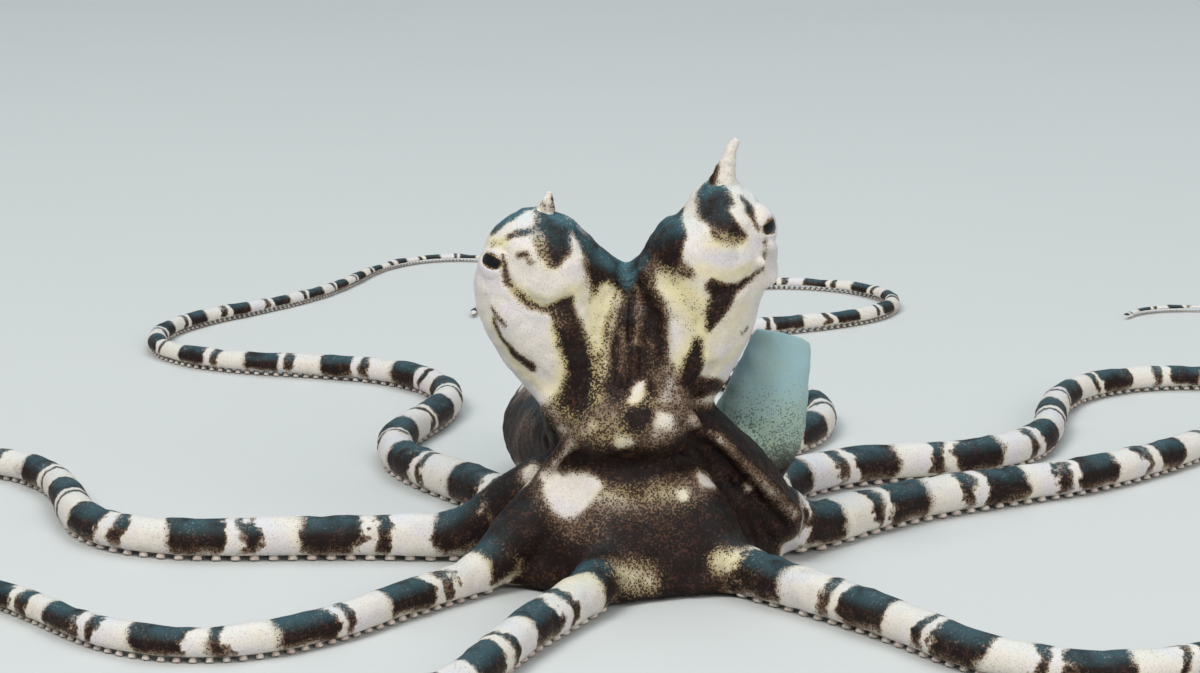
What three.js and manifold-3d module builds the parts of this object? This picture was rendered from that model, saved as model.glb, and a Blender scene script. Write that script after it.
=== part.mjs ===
// A life-size mimic octopus at rest on a flat floor, with its eyes raised on their stalks.
// Millimetres, +Z up, the face towards -Y. The origin is on the floor under the arm crown.
// Each piece is a limb swept along a curve, or a join of such limbs. Where two pieces meet, one is
// trimmed by a slightly larger copy of the other, so that a thin gap parts them.

import * as THREE from 'three';
import { mergeVertices } from 'three/addons/utils/BufferGeometryUtils.js';
import Module from 'manifold-3d';

const wasm = await Module();
wasm.setup();

// ---------------------------------------------------------------- driving dimensions

const GAP = 0.3; // clear space between two neighbouring pieces
const FAR = 400; // larger than the whole animal, for the blocks that part it

const CROWN = {
  centre: new THREE.Vector2(0.8, 0.4),
  skirtRadius: 12.4, // where the web meets the floor, between two arms
  skirtHeight: 2.6,
  shoulderRadius: 9.6,
  shoulderHeight: 9.5,
  topRadius: 6.4,
  topHeight: 13.2,
  webReach: 3.0, // how much further the web runs out along each arm
  webSpread: 17, // degrees either side of an arm that this reach covers
};

const ARM = {
  rootRadius: 6.5, // from the crown's centre to where an arm's own line starts
  baseThickness: 5.5,
  tipThickness: 0.9,
  taper: 1.12,
  rootSwelling: 1.9, // extra radius at the root, which fades into the web
  rootRise: 4.2, // how far the root's centre line is lifted
  rootLength: 14, // length over which both fade
  flatness: 0.88, // height of the centre line as a share of the radius
  straighten: 16, // length over which an arm turns from its root to its own heading
  swayStart: 18,
  swayFull: 60,
  curlStart: 0.6, // share of the length after which the tip curls up
  curlTightening: 1.9,
  ringSpacing: 7.4,
  tipRingSpacing: 5.6,
  sides: 7,
};

// Each arm's length, thickness and course: it leaves the crown at the root angle, settles to its
// heading, makes one broad turn, sways from side to side and curls at the tip. Angles are in
// degrees, anticlockwise from +X, seen from above. `rise` is how strongly the root stands up from
// the web. The pairs are numbered from the face round to the mantle.
const ARMS = [
  {
    name: 'arm_left_1', root: 256, heading: 244, length: 200, girth: 0.9, rise: 0.2,
    turn: -30, turnAt: 46, sway: 50, waves: 2.3, phase: 0, curl: 215,
  },
  {
    name: 'arm_left_2', root: 207, heading: 229, length: 216, girth: 0.77, rise: 1,
    turn: -50, turnAt: 40, sway: 50, waves: 2.3, phase: 20, curl: 225,
  },
  {
    name: 'arm_left_3', root: 168, heading: 178, length: 230, girth: 0.96, rise: 0.9,
    turn: -22, turnAt: 52, sway: 54, waves: 2.4, phase: 40, curl: -260,
  },
  {
    name: 'arm_left_4', root: 128, heading: 124, length: 226, girth: 0.98, rise: 0.5,
    turn: -12, turnAt: 70, sway: 54, waves: 2.4, phase: 60, curl: -250,
  },
  {
    name: 'arm_right_1', root: 318, heading: 312, length: 200, girth: 0.92, rise: 0.2,
    turn: 28, turnAt: 46, sway: 50, waves: 2.3, phase: 180, curl: -210,
  },
  {
    name: 'arm_right_2', root: 11, heading: 46, length: 218, girth: 1, rise: 1,
    turn: -46, turnAt: 54, sway: 50, waves: 2.2, phase: 180, curl: -235,
  },
  {
    name: 'arm_right_3', root: 40, heading: 74, length: 232, girth: 1, rise: 0.6,
    turn: -46, turnAt: 32, sway: 52, waves: 2.4, phase: 170, curl: 260,
  },
  {
    name: 'arm_right_4', root: 63, heading: 80, length: 226, girth: 0.96, rise: 0.5,
    turn: -2, turnAt: 60, sway: 52, waves: 2.4, phase: 150, curl: 250,
  },
];
const TURN_LENGTH = 36; // length over which an arm makes its broad turn
const ARM_LENGTHS = { base: 0.24, middle: 0.6 }; // where an arm is parted, as shares of its length

// The ridge of skin that runs from the neck down to the root of the second right arm.
const RIDGE = [
  { at: [6.2, -1.4, 17.2], across: 1.5, deep: 2.6 },
  { at: [9.6, -0.6, 13.4], across: 2.1, deep: 3.4 },
  { at: [12.4, 0.4, 9.6], across: 2.6, deep: 3.8 },
  { at: [14.8, 1.6, 5.8], across: 2.5, deep: 3.4 },
  { at: [16.6, 2.8, 3.2], across: 1.8, deep: 2.4 },
];

// The head's own line, bottom to top: where its middle lies and its half width and half depth.
const NECK = [
  { at: [0.6, 0.6, 7.0], across: 9.4, deep: 8.4 },
  { at: [0.5, 0.2, 11.0], across: 8.8, deep: 8.6 },
  { at: [0.4, -0.4, 14.5], across: 7.9, deep: 8.2 },
  { at: [0.4, -0.3, 18.0], across: 7.5, deep: 6.9 },
  { at: [0.2, 0.0, 22.0], across: 7.6, deep: 6.0 },
  { at: [0.0, 0.2, 26.5], across: 5.6, deep: 5.0 },
  { at: [0.0, 0.3, 30.6], across: 2.8, deep: 3.4 },
];
const STALK_LEFT = [
  { at: [-3.4, 0.0, 17.0], across: 4.4, deep: 5.4 },
  { at: [-5.4, -0.2, 21.5], across: 5.6, deep: 5.6 },
  { at: [-7.3, -0.5, 26.0], across: 6.8, deep: 5.6 },
  { at: [-8.5, -0.7, 30.0], across: 7.0, deep: 5.4 },
  { at: [-9.0, -0.8, 33.4], across: 5.6, deep: 4.7 },
  { at: [-9.1, -0.8, 36.0], across: 3.4, deep: 3.0 },
  { at: [-9.1, -0.8, 37.2], across: 0.9, deep: 0.9 },
];
const STALK_RIGHT = [
  { at: [3.6, 0.0, 17.0], across: 3.8, deep: 5.2 },
  { at: [5.3, -0.1, 21.8], across: 5.3, deep: 5.5 },
  { at: [6.5, -0.3, 26.4], across: 6.2, deep: 5.5 },
  { at: [7.0, -0.3, 29.0], across: 6.3, deep: 5.5 },
  { at: [8.0, -0.4, 31.8], across: 6.3, deep: 5.4 },
  { at: [9.25, -0.5, 35.2], across: 5.0, deep: 4.8 },
  { at: [9.3, -0.5, 38.4], across: 3.2, deep: 3.0 },
  { at: [9.4, -0.5, 40.2], across: 1.0, deep: 1.0 },
];
const STALK_SPLIT = 21.0; // height at which the stalks part from the head

const EYE_RADIUS = 2.7;
const EYES = [
  { name: 'eye_left', centre: [-12.0, -2.1, 31.6] },
  { name: 'eye_right', centre: [11.9, -1.2, 35.1] },
];

// The fleshy horn over each eye: a short blunt wart on the left, a tall cone on the right.
const HORN_LEFT = [
  { at: [-8.4, -1.0, 36.0], across: 1.25, deep: 1.15 },
  { at: [-8.1, -1.1, 37.5], across: 0.85, deep: 0.8 },
  { at: [-7.9, -1.1, 38.9], across: 0.35, deep: 0.35 },
];
const HORN_RIGHT = [
  { at: [9.3, -0.8, 39.0], across: 1.7, deep: 1.4 },
  { at: [9.6, -0.9, 41.0], across: 1.0, deep: 0.9 },
  { at: [10.1, -0.9, 42.8], across: 0.6, deep: 0.55 },
  { at: [10.6, -0.9, 44.2], across: 0.28, deep: 0.28 },
];

// The mantle's line runs from the neck down to the floor behind, and swings a little to the left.
const MANTLE = [
  { at: [0.2, 3.0, 12.0], across: 6.0, deep: 4.6 },
  { at: [-0.2, 8.0, 11.4], across: 9.0, deep: 5.9 },
  { at: [-0.9, 15.0, 9.8], across: 10.4, deep: 6.8 },
  { at: [-2.3, 25.0, 7.8], across: 10.6, deep: 7.6 },
  { at: [-4.2, 36.0, 6.6], across: 9.4, deep: 7.0 },
  { at: [-5.8, 45.0, 5.2], across: 6.4, deep: 5.4 },
  { at: [-6.4, 50.0, 4.2], across: 1.6, deep: 1.9 },
];

// The siphon is a cone that opens upwards beside the neck.
const SIPHON = [
  { at: [7.6, 9.4, 7.6], across: 4.2, deep: 3.2 },
  { at: [11.4, 8.2, 9.6], across: 5.0, deep: 3.8 },
  { at: [13.4, 6.8, 13.2], across: 4.9, deep: 3.7 },
  { at: [14.7, 6.0, 18.0], across: 4.0, deep: 3.1 },
  { at: [15.9, 5.7, 22.9], across: 3.0, deep: 2.4 },
];
const SIPHON_WALL = 0.8;
const SIPHON_BORE = 0.3; // share of the siphon's line, from its mouth down, that is hollow

const SKIN_DARK = 0x3a2a22;
const SKIN_PALE = 0xd8cfc4;
const SKIN_TEAL = 0x7da899;
const EYE_DARK = 0x15120f;

// ---------------------------------------------------------------- shaping tools

// Turns a closed geometry into a solid that can be joined and cut.
function toSolid(geometry) {
  const bare = geometry.clone();
  bare.deleteAttribute('normal');
  bare.deleteAttribute('uv');
  const merged = mergeVertices(bare, 1e-4);
  const corners = merged.index.array;
  const triangles = [];
  for (let i = 0; i < corners.length; i += 3) {
    const [a, b, c] = [corners[i], corners[i + 1], corners[i + 2]];
    if (a !== b && b !== c && c !== a) {
      triangles.push(a, b, c);
    }
  }
  return new wasm.Manifold(new wasm.Mesh({
    numProp: 3,
    vertProperties: new Float32Array(merged.attributes.position.array),
    triVerts: new Uint32Array(triangles),
  }));
}

function toMesh(name, solid, color, roughness = 0.45) {
  const { vertProperties, triVerts } = solid.getMesh();
  const geometry = new THREE.BufferGeometry();
  geometry.setAttribute('position', new THREE.BufferAttribute(new Float32Array(vertProperties), 3));
  geometry.setIndex(new THREE.BufferAttribute(new Uint32Array(triVerts), 1));
  geometry.computeVertexNormals();
  const mesh = new THREE.Mesh(
    geometry,
    new THREE.MeshStandardMaterial({ color, roughness, metalness: 0 }),
  );
  mesh.name = name;
  return mesh;
}

// A block that covers all space on the low or high side of a level along one axis.
function halfSpace(axis, level, side) {
  const centre = new THREE.Vector3();
  centre[axis] = level + side * FAR / 2;
  return toSolid(new THREE.BoxGeometry(FAR, FAR, FAR).translate(centre.x, centre.y, centre.z));
}

// Sweeps a ring of changing width and depth along a curve, from share `from` to share `to` of it.
// `up` is the direction that the depth is measured along. Nothing reaches below the floor, and a
// facet faces down, so that what lies on the floor has a flat there.
function sweep({ path, size, up, from = 0, to = 1, rings, sides }) {
  const profile = [new THREE.Vector2(0, 0)];
  for (let i = 0; i <= rings; i += 1) {
    profile.push(new THREE.Vector2(1, i / rings));
  }
  profile.push(new THREE.Vector2(0, 1));
  const geometry = new THREE.LatheGeometry(profile, sides, Math.PI - Math.PI / sides);
  const position = geometry.attributes.position;
  const point = new THREE.Vector3();
  for (let i = 0; i < position.count; i += 1) {
    const share = from + (to - from) * position.getY(i);
    const tangent = path.getTangent(share);
    const lift = up.clone().addScaledVector(tangent, -up.dot(tangent)).normalize();
    const side = tangent.clone().cross(lift);
    const { across, deep } = size(share);
    point.copy(path.getPoint(share));
    point.addScaledVector(side, position.getX(i) * across);
    point.addScaledVector(lift, position.getZ(i) * deep);
    position.setXYZ(i, point.x, point.y, Math.max(point.z, 0));
  }
  return toSolid(geometry);
}

// A limb whose middle line and size pass smoothly through a few stations.
function limb(stations, { up, rings, sides, grow = 0, from = 0, to = 1 }) {
  const path = new THREE.CatmullRomCurve3(stations.map(({ at }) => new THREE.Vector3(...at)));
  const sizes = new THREE.CatmullRomCurve3(
    stations.map(({ across, deep }) => new THREE.Vector3(across, deep, 0)),
  );
  const size = (share) => {
    const { x, y } = sizes.getPoint(share);
    return { across: x + grow, deep: y + grow };
  };
  return sweep({ path, size, up, from, to, rings, sides });
}

const UP = new THREE.Vector3(0, 0, 1);
const FRONT = new THREE.Vector3(0, -1, 0);

// ---------------------------------------------------------------- arms

function smooth(start, end, value) {
  return THREE.MathUtils.smoothstep(value, start, end);
}

function armHeading(arm, along) {
  const share = along / arm.length;
  const settle = (arm.heading - arm.root) * smooth(0, ARM.straighten, along);
  const turn = arm.turn * smooth(arm.turnAt - TURN_LENGTH / 2, arm.turnAt + TURN_LENGTH / 2, along);
  const wave = Math.sin(2 * Math.PI * arm.waves * share + THREE.MathUtils.degToRad(arm.phase));
  const sway = arm.sway * wave * smooth(ARM.swayStart, ARM.swayFull, along);
  const curl = arm.curl * Math.max(0, (share - ARM.curlStart) / (1 - ARM.curlStart)) ** ARM.curlTightening;
  return THREE.MathUtils.degToRad(arm.root + settle + turn + sway + curl);
}

// How much of its root's swelling an arm still has: all at the root, none past the root's length.
function rootShare(along) {
  return 1 - smooth(0, ARM.rootLength, along);
}

function armRadius(arm, along) {
  const share = Math.min(along / arm.length, 1);
  const tip = ARM.tipThickness / 2;
  const base = ARM.baseThickness * arm.girth / 2;
  const plain = tip + (base - tip) * (1 - share) ** ARM.taper;
  return plain + ARM.rootSwelling * arm.rise * rootShare(along);
}

// The middle line of an arm, walked from the crown outwards in equal steps.
function armPath(arm) {
  const steps = Math.round(arm.length / 2);
  const stride = arm.length / steps;
  const root = THREE.MathUtils.degToRad(arm.root);
  const spot = new THREE.Vector2(Math.cos(root), Math.sin(root));
  spot.multiplyScalar(ARM.rootRadius).add(CROWN.centre);
  const points = [];
  for (let i = 0; i <= steps; i += 1) {
    const along = i * stride;
    const lift = ARM.rootRise * arm.rise * rootShare(along);
    points.push(new THREE.Vector3(spot.x, spot.y, armRadius(arm, along) * ARM.flatness + lift));
    const heading = armHeading(arm, along + stride / 2);
    spot.x += Math.cos(heading) * stride;
    spot.y += Math.sin(heading) * stride;
  }
  return new THREE.CatmullRomCurve3(points);
}

function armLength(arm, from, to, grow = 0) {
  const spacing = to === 1 ? ARM.tipRingSpacing : ARM.ringSpacing;
  const size = (share) => {
    const radius = armRadius(arm, share * arm.length) + grow;
    return { across: radius, deep: radius };
  };
  return sweep({
    path: armPath(arm),
    size,
    up: UP,
    from,
    to,
    rings: Math.ceil((to - from) * arm.length / spacing),
    sides: ARM.sides,
  });
}

// ---------------------------------------------------------------- arm crown and web

function crown(grow = 0) {
  const profile = [
    [0, 0],
    [CROWN.skirtRadius - 0.6, 0],
    [CROWN.skirtRadius, 0.9],
    [CROWN.skirtRadius - 0.1, CROWN.skirtHeight],
    [(CROWN.skirtRadius + CROWN.shoulderRadius) / 2 + 0.4, 6],
    [CROWN.shoulderRadius, CROWN.shoulderHeight],
    [CROWN.topRadius, CROWN.topHeight],
    [0, CROWN.topHeight],
  ];
  const geometry = new THREE.LatheGeometry(
    profile.map(([radius, height]) => new THREE.Vector2(radius, height)),
    40,
  );
  geometry.rotateX(Math.PI / 2);
  const position = geometry.attributes.position;
  for (let i = 0; i < position.count; i += 1) {
    const radius = Math.hypot(position.getX(i), position.getY(i));
    const angle = THREE.MathUtils.radToDeg(Math.atan2(position.getY(i), position.getX(i)));
    const height = position.getZ(i);
    let reach = 0;
    for (const arm of ARMS) {
      const off = ((angle - arm.root + 540) % 360) - 180;
      reach += Math.exp(-((off / CROWN.webSpread) ** 2));
    }
    const low = (1 - height / CROWN.topHeight) ** ARM.curlTightening;
    const wide = radius > 0.01 ? radius + CROWN.webReach * reach * low + grow : 0;
    const turn = THREE.MathUtils.degToRad(angle);
    position.setXYZ(
      i,
      CROWN.centre.x + wide * Math.cos(turn),
      CROWN.centre.y + wide * Math.sin(turn),
      height > 0 ? height + grow : 0,
    );
  }
  return toSolid(geometry).add(limb(RIDGE, { up: FRONT, rings: 7, sides: 12, grow }));
}

// ---------------------------------------------------------------- the pieces

const octopus = new THREE.Group();

const headShape = { up: FRONT, rings: 9, sides: 18 };
const stalkShape = { up: FRONT, rings: 9, sides: 15 };
const mantleShape = { up: UP, rings: 10, sides: 16 };
const siphonShape = { up: FRONT, rings: 6, sides: 13 };

const crownSolid = crown();
const crownRoom = crown(GAP);

function eyeball(centre, radius) {
  return toSolid(new THREE.SphereGeometry(radius, 13, 8).translate(...centre));
}

const headAndStalks = limb(NECK, headShape)
  .add(limb(STALK_LEFT, stalkShape))
  .add(limb(STALK_RIGHT, stalkShape))
  .subtract(crownRoom)
  .subtract(eyeball(EYES[0].centre, EYE_RADIUS + GAP))
  .subtract(eyeball(EYES[1].centre, EYE_RADIUS + GAP));
const stalks = headAndStalks.intersect(halfSpace('z', STALK_SPLIT + GAP / 2, 1));
const hornLeft = limb(HORN_LEFT, { up: FRONT, rings: 4, sides: 10 });
const hornRight = limb(HORN_RIGHT, { up: FRONT, rings: 5, sides: 10 });
const hornLeftRoom = limb(HORN_LEFT, { up: FRONT, rings: 4, sides: 10, grow: GAP });
const hornRightRoom = limb(HORN_RIGHT, { up: FRONT, rings: 5, sides: 10, grow: GAP });

octopus.add(
  toMesh('arm_crown', crownSolid, SKIN_DARK),
  toMesh('head', headAndStalks.intersect(halfSpace('z', STALK_SPLIT - GAP / 2, -1)), SKIN_DARK),
  toMesh(
    'eye_stalk_left',
    stalks.intersect(halfSpace('x', -GAP / 2, -1)).subtract(hornLeftRoom),
    SKIN_PALE,
  ),
  toMesh(
    'eye_stalk_right',
    stalks.intersect(halfSpace('x', GAP / 2, 1)).subtract(hornRightRoom),
    SKIN_PALE,
  ),
  toMesh('horn_left', hornLeft, SKIN_PALE),
  toMesh('horn_right', hornRight, SKIN_PALE),
);
for (const { name, centre } of EYES) {
  octopus.add(toMesh(name, eyeball(centre, EYE_RADIUS), EYE_DARK, 0.1));
}

const neckRoom = limb(NECK, { ...headShape, grow: GAP });
let baseRoom = crownRoom.add(neckRoom);
for (const arm of ARMS) {
  const { base, middle } = ARM_LENGTHS;
  const half = GAP / 2 / arm.length;
  const room = armLength(arm, 0, base + half, GAP);
  const armBase = armLength(arm, 0, base - half).subtract(baseRoom);
  baseRoom = baseRoom.add(room);
  octopus.add(
    toMesh(`${arm.name}_base`, armBase, SKIN_DARK),
    toMesh(`${arm.name}_middle`, armLength(arm, base + half, middle - half), SKIN_PALE),
    toMesh(`${arm.name}_tip`, armLength(arm, middle + half, 1), SKIN_DARK),
  );
}

const mantle = limb(MANTLE, mantleShape).subtract(baseRoom);
const mantleRoom = limb(MANTLE, { ...mantleShape, grow: GAP });
const siphonBore = limb(SIPHON, { ...siphonShape, grow: -SIPHON_WALL, from: 1 - SIPHON_BORE, to: 1.02 });
const siphon = limb(SIPHON, siphonShape)
  .subtract(siphonBore)
  .subtract(mantleRoom)
  .subtract(baseRoom);
octopus.add(
  toMesh('mantle', mantle, SKIN_DARK),
  toMesh('siphon', siphon, SKIN_TEAL),
);

export default octopus;
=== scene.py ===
"""The looks of a life-size mimic octopus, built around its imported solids.

Sizes in the tables are in millimetres and angles in degrees. The front is seen along +Y and from a
little above.
"""

import math

import bpy
import numpy as np
from mathutils import Matrix, Vector
from mathutils.bvhtree import BVHTree
from mathutils.kdtree import KDTree


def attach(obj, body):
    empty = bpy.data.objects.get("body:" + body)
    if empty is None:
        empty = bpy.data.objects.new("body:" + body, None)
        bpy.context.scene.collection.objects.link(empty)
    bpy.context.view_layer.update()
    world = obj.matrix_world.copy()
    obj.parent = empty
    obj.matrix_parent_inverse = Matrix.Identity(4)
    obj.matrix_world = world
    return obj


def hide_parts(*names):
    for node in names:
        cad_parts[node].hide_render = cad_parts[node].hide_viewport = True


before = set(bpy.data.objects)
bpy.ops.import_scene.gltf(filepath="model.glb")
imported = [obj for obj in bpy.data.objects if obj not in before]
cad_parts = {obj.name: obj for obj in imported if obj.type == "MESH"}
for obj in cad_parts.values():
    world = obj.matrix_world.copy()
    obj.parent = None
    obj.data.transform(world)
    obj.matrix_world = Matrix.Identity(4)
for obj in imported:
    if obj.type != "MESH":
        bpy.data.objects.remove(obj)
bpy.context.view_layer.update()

bl_info = {
    "name": "Mimic octopus",
    "version": (1, 0, 0),
    "blender": (4, 5, 0),
    "location": "View3D > Sidebar > Octopus",
    "description": "Skin, eyes, horns and suckers of a life-size mimic octopus",
    "category": "Object",
}

MM = 0.001
UP = np.array([0.0, 0.0, 1.0])
FRONT = np.array([0.0, -1.0, 0.0])
BODY = "root"

# ---------------------------------------------------------------- the camera's place

VIEW_ELEVATION = math.radians(12)
VIEW_TARGET = np.array([-2.8, 0.0, 24.0])
VIEW_DISTANCE = 330.0
LENS = 99.0
SENSOR_WIDTH = 36.0
VIEW_FORWARD = np.array([0.0, math.cos(VIEW_ELEVATION), -math.sin(VIEW_ELEVATION)])
VIEW_UP = np.array([0.0, math.sin(VIEW_ELEVATION), math.cos(VIEW_ELEVATION)])
VIEW_RIGHT = np.array([1.0, 0.0, 0.0])
VIEW_POINT = VIEW_TARGET - VIEW_FORWARD * VIEW_DISTANCE

# ---------------------------------------------------------------- the body's own lines

# Stations of a limb: x, y and z of its middle, then half its width and half its depth.
NECK = [
    (0.6, 0.6, 7.0, 9.4, 8.4),
    (0.5, 0.2, 11.0, 8.8, 8.6),
    (0.4, -0.4, 14.5, 7.9, 8.2),
    (0.4, -0.3, 18.0, 7.5, 6.9),
    (0.2, 0.0, 22.0, 7.6, 6.0),
    (0.0, 0.2, 26.5, 5.2, 5.0),
    (0.0, 0.3, 30.2, 1.8, 3.2),
]
STALK_LEFT = [
    (-3.4, 0.0, 17.0, 4.4, 5.4),
    (-5.4, -0.2, 21.5, 5.6, 5.6),
    (-7.3, -0.5, 26.0, 6.8, 5.6),
    (-8.5, -0.7, 30.0, 7.0, 5.4),
    (-9.0, -0.8, 33.4, 5.6, 4.7),
    (-9.1, -0.8, 36.0, 3.4, 3.0),
    (-9.1, -0.8, 37.2, 0.9, 0.9),
]
STALK_RIGHT = [
    (3.6, 0.0, 17.0, 3.8, 5.2),
    (5.3, -0.1, 21.8, 5.3, 5.5),
    (6.5, -0.3, 26.4, 6.2, 5.5),
    (7.0, -0.3, 29.0, 6.3, 5.5),
    (8.0, -0.4, 31.8, 6.3, 5.4),
    (9.25, -0.5, 35.2, 5.0, 4.8),
    (9.3, -0.5, 38.4, 3.2, 3.0),
    (9.4, -0.5, 40.2, 1.0, 1.0),
]
RIDGE = [
    (6.2, -1.4, 17.2, 1.5, 2.6),
    (9.6, -0.6, 13.4, 2.1, 3.4),
    (12.4, 0.4, 9.6, 2.6, 3.8),
    (14.8, 1.6, 5.8, 2.5, 3.4),
    (16.6, 2.8, 3.2, 1.8, 2.4),
]
# The fold that runs from the brow down to the web, on the left.
RIDGE_LEFT = [
    (-2.6, -6.4, 16.6, 0.7, 1.0),
    (-3.6, -6.7, 15.9, 0.9, 1.1),
    (-5.7, -5.6, 13.8, 1.0, 1.2),
    (-7.9, -4.1, 11.0, 1.1, 1.3),
    (-9.6, -2.8, 8.6, 0.9, 1.1),
]
# The skin between the stalks rises to them on either side of the notch.
NOTCH_LEFT = [
    (-6.6, -0.4, 34.2, 1.4, 2.0),
    (-4.4, -0.3, 32.4, 1.6, 2.8),
    (-1.4, -0.2, 30.1, 1.6, 3.3),
    (-0.6, -0.2, 27.5, 1.6, 3.6),
]
NOTCH_RIGHT = [
    (8.0, -0.3, 37.0, 1.5, 2.0),
    (5.6, -0.3, 33.7, 1.3, 2.8),
    (1.6, -0.2, 30.7, 1.6, 3.3),
    (0.8, -0.2, 28.0, 1.6, 3.6),
]
MANTLE = [
    (0.2, 3.0, 12.0, 6.0, 4.6),
    (-0.2, 8.0, 11.4, 9.0, 5.9),
    (-0.9, 15.0, 9.8, 10.4, 6.8),
    (-2.3, 25.0, 7.8, 10.6, 7.6),
    (-4.2, 36.0, 6.6, 9.4, 7.0),
    (-5.8, 45.0, 5.2, 6.4, 5.4),
    (-6.4, 50.0, 4.2, 1.6, 1.9),
]
SIPHON = [
    (7.6, 9.4, 7.6, 4.2, 3.2),
    (11.4, 8.2, 9.6, 5.0, 3.8),
    (13.4, 6.8, 13.2, 4.9, 3.7),
    (14.7, 6.0, 18.0, 4.0, 3.1),
    (15.9, 5.7, 22.9, 3.0, 2.4),
]
HORN_LEFT = [
    (-8.6, -0.9, 34.6, 2.1, 1.9),
    (-8.3, -1.0, 36.3, 1.3, 1.2),
    (-8.1, -1.1, 37.3, 0.85, 0.8),
    (-7.95, -1.1, 38.2, 0.50, 0.48),
    (-7.85, -1.1, 38.8, 0.22, 0.22),
]
HORN_RIGHT = [
    (9.1, -0.7, 37.4, 2.9, 2.4),
    (9.3, -0.8, 39.2, 1.75, 1.5),
    (9.6, -0.9, 41.0, 1.0, 0.95),
    (10.1, -0.9, 42.8, 0.62, 0.6),
    (10.6, -0.9, 44.1, 0.3, 0.3),
]

# The web's profile between two arms: radius and height.
CROWN_CENTRE = (0.8, 0.4)
CROWN_PROFILE = [
    (4.0, 0.0),
    (11.8, 0.0),
    (12.4, 0.9),
    (12.3, 2.6),
    (11.4, 6.0),
    (9.6, 9.5),
    (6.4, 13.2),
]
CROWN_TOP = 13.2
CROWN_RINGS = 22
CROWN_SIDES = 96
WEB_REACH = 3.0
WEB_SPREAD = 17.0
WEB_FADE = 1.9

# An arm leaves the crown at its root angle, settles to its heading, makes one broad turn, sways
# from side to side and curls at the tip.
ARM_FIELDS = (
    "name", "root", "heading", "length", "girth", "rise", "turn", "turn_at",
    "sway", "waves", "phase", "curl", "first_dark",
)
ARM_ROWS = [
    ("left_1", 256, 244, 200, 0.90, 0.2, -30, 46, 50, 2.3, 0, 215, 6.0),
    ("left_2", 207, 229, 216, 0.77, 1.0, -50, 40, 50, 2.3, 20, 225, 5.8),
    ("left_3", 168, 178, 230, 0.96, 0.9, -22, 52, 54, 2.4, 40, -260, 8.0),
    ("left_4", 128, 124, 226, 0.98, 0.5, -12, 70, 54, 2.4, 60, -250, 5.0),
    ("right_1", 318, 312, 200, 0.92, 0.2, 28, 46, 50, 2.3, 180, -210, 9.0),
    ("right_2", 11, 46, 218, 1.00, 1.0, -46, 54, 50, 2.2, 180, -235, 10.5),
    ("right_3", 40, 74, 232, 1.00, 0.6, -46, 32, 52, 2.4, 170, 260, 7.0),
    ("right_4", 63, 80, 226, 0.96, 0.5, -2, 60, 52, 2.4, 150, 250, 4.0),
]
ARM_ROOT_RADIUS = 6.5
ARM_BASE_THICKNESS = 5.5
ARM_TIP_THICKNESS = 0.9
ARM_TAPER = 1.12
ARM_SWELLING = 1.9
ARM_RISE = 4.2
ARM_ROOT_LENGTH = 14.0
ARM_FLATNESS = 0.88
ARM_STRAIGHTEN = 16.0
ARM_SWAY = (18.0, 60.0)
ARM_TURN_LENGTH = 36.0
ARM_CURL_START = 0.6
ARM_CURL_TIGHTENING = 1.9
ARM_STRIDE = 2.0
BAND_AT_ROOT = 15.0
BAND_AT_TIP = 5.0
FIRST_BAND = 8.0  # the count of bands where an arm's first dark one starts

GRAFT = 20.0  # how far along an arm its finer tube takes over from the body's own mesh
STUB = 2.2  # how far the body's own mesh runs on past that, before it is cut off
STUB_RING_GAP = 0.9
STUB_SIDES = 28
TUBE_START = 0.6  # from the cut to the tube's first ring
TUBE_RING_GAP = 1.32
TUBE_SIDES = 16

SIPHON_RINGS = 40
SIPHON_CUT = 24  # the ring where the siphon's tube takes over from the body's own mesh
SIPHON_STUB_RINGS = 3
SIPHON_SIDES = 40
SIPHON_TUBE_SIDES = 36
SIPHON_WALL = 0.55
# Over the lip: the share of the siphon's length, and how far the ring grows.
SIPHON_LIP = [(0.985, -0.03), (1.0, -0.16), (1.006, -0.36), (0.998, -0.56), (0.98, -0.7)]
LIP_LEAN = 0.75  # how much higher the front of the siphon's lip is than its middle

FLOOR_GAP = 0.08
FLOOR_EASE = 0.6  # the height over which the skin eases to the floor
SOLE = 0.405  # the arms' undersides clear the floor by this much more, on their suckers

# name, stations, rings along it, the way its depth points, and sides round it
BODY_LIMBS = [
    ("neck", NECK, 40, FRONT, 48),
    ("stalk_left", STALK_LEFT, 40, FRONT, 48),
    ("stalk_right", STALK_RIGHT, 40, FRONT, 48),
    ("notch_left", NOTCH_LEFT, 24, FRONT, 24),
    ("notch_right", NOTCH_RIGHT, 24, FRONT, 24),
    ("ridge", RIDGE, 24, FRONT, 24),
    ("ridge_left", RIDGE_LEFT, 24, FRONT, 20),
    ("mantle", MANTLE, 60, UP, 56),
]

EYE_RADIUS = 2.7
EYES = {
    # name: centre, azimuth of its gaze from the front (+ towards +X), elevation, tilt of its pupil
    "eye_left": ((-12.0, -2.1, 31.6), -39, 19, 14),
    "eye_right": ((11.9, -1.2, 35.1), 57, 12, -12),
}
LID_WIDTH = 0.49  # half the opening, as a share of the eyeball's radius
LID_HEIGHT = 0.26
LID_OUTER = 0.16  # how far the lid's rim stands out from the eyeball
LID_INNER = -0.4
LID_REACH = 2.3
LID_EDGE = (0.84, 1.1)  # where the skin turns in, as shares of the opening
LID_BLEND = 2.6  # the lid has eased into the face this many openings out

FADE_SHARE = 1.25  # width of a stroke's soft edge, as a share of its radius at softness 1
LEAST_FADE = 0.60  # no stroke's edge is sharper than this
FOLD_SOFTNESS = 0.95
POLE = -1.0  # the place round a limb of the point that closes its end
ABOVE_ALL = 100.0  # where the lines of sight from above and from behind start
BEHIND_ALL = 200.0

# The part of the head whose mesh has a finer grain: its lowest edge, its front, back and sides.
FINE_FROM = 8.5
FINE_FRONT = -11.5
FINE_BACK = 1.2
HEAD_SIDE = 17.5
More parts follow.
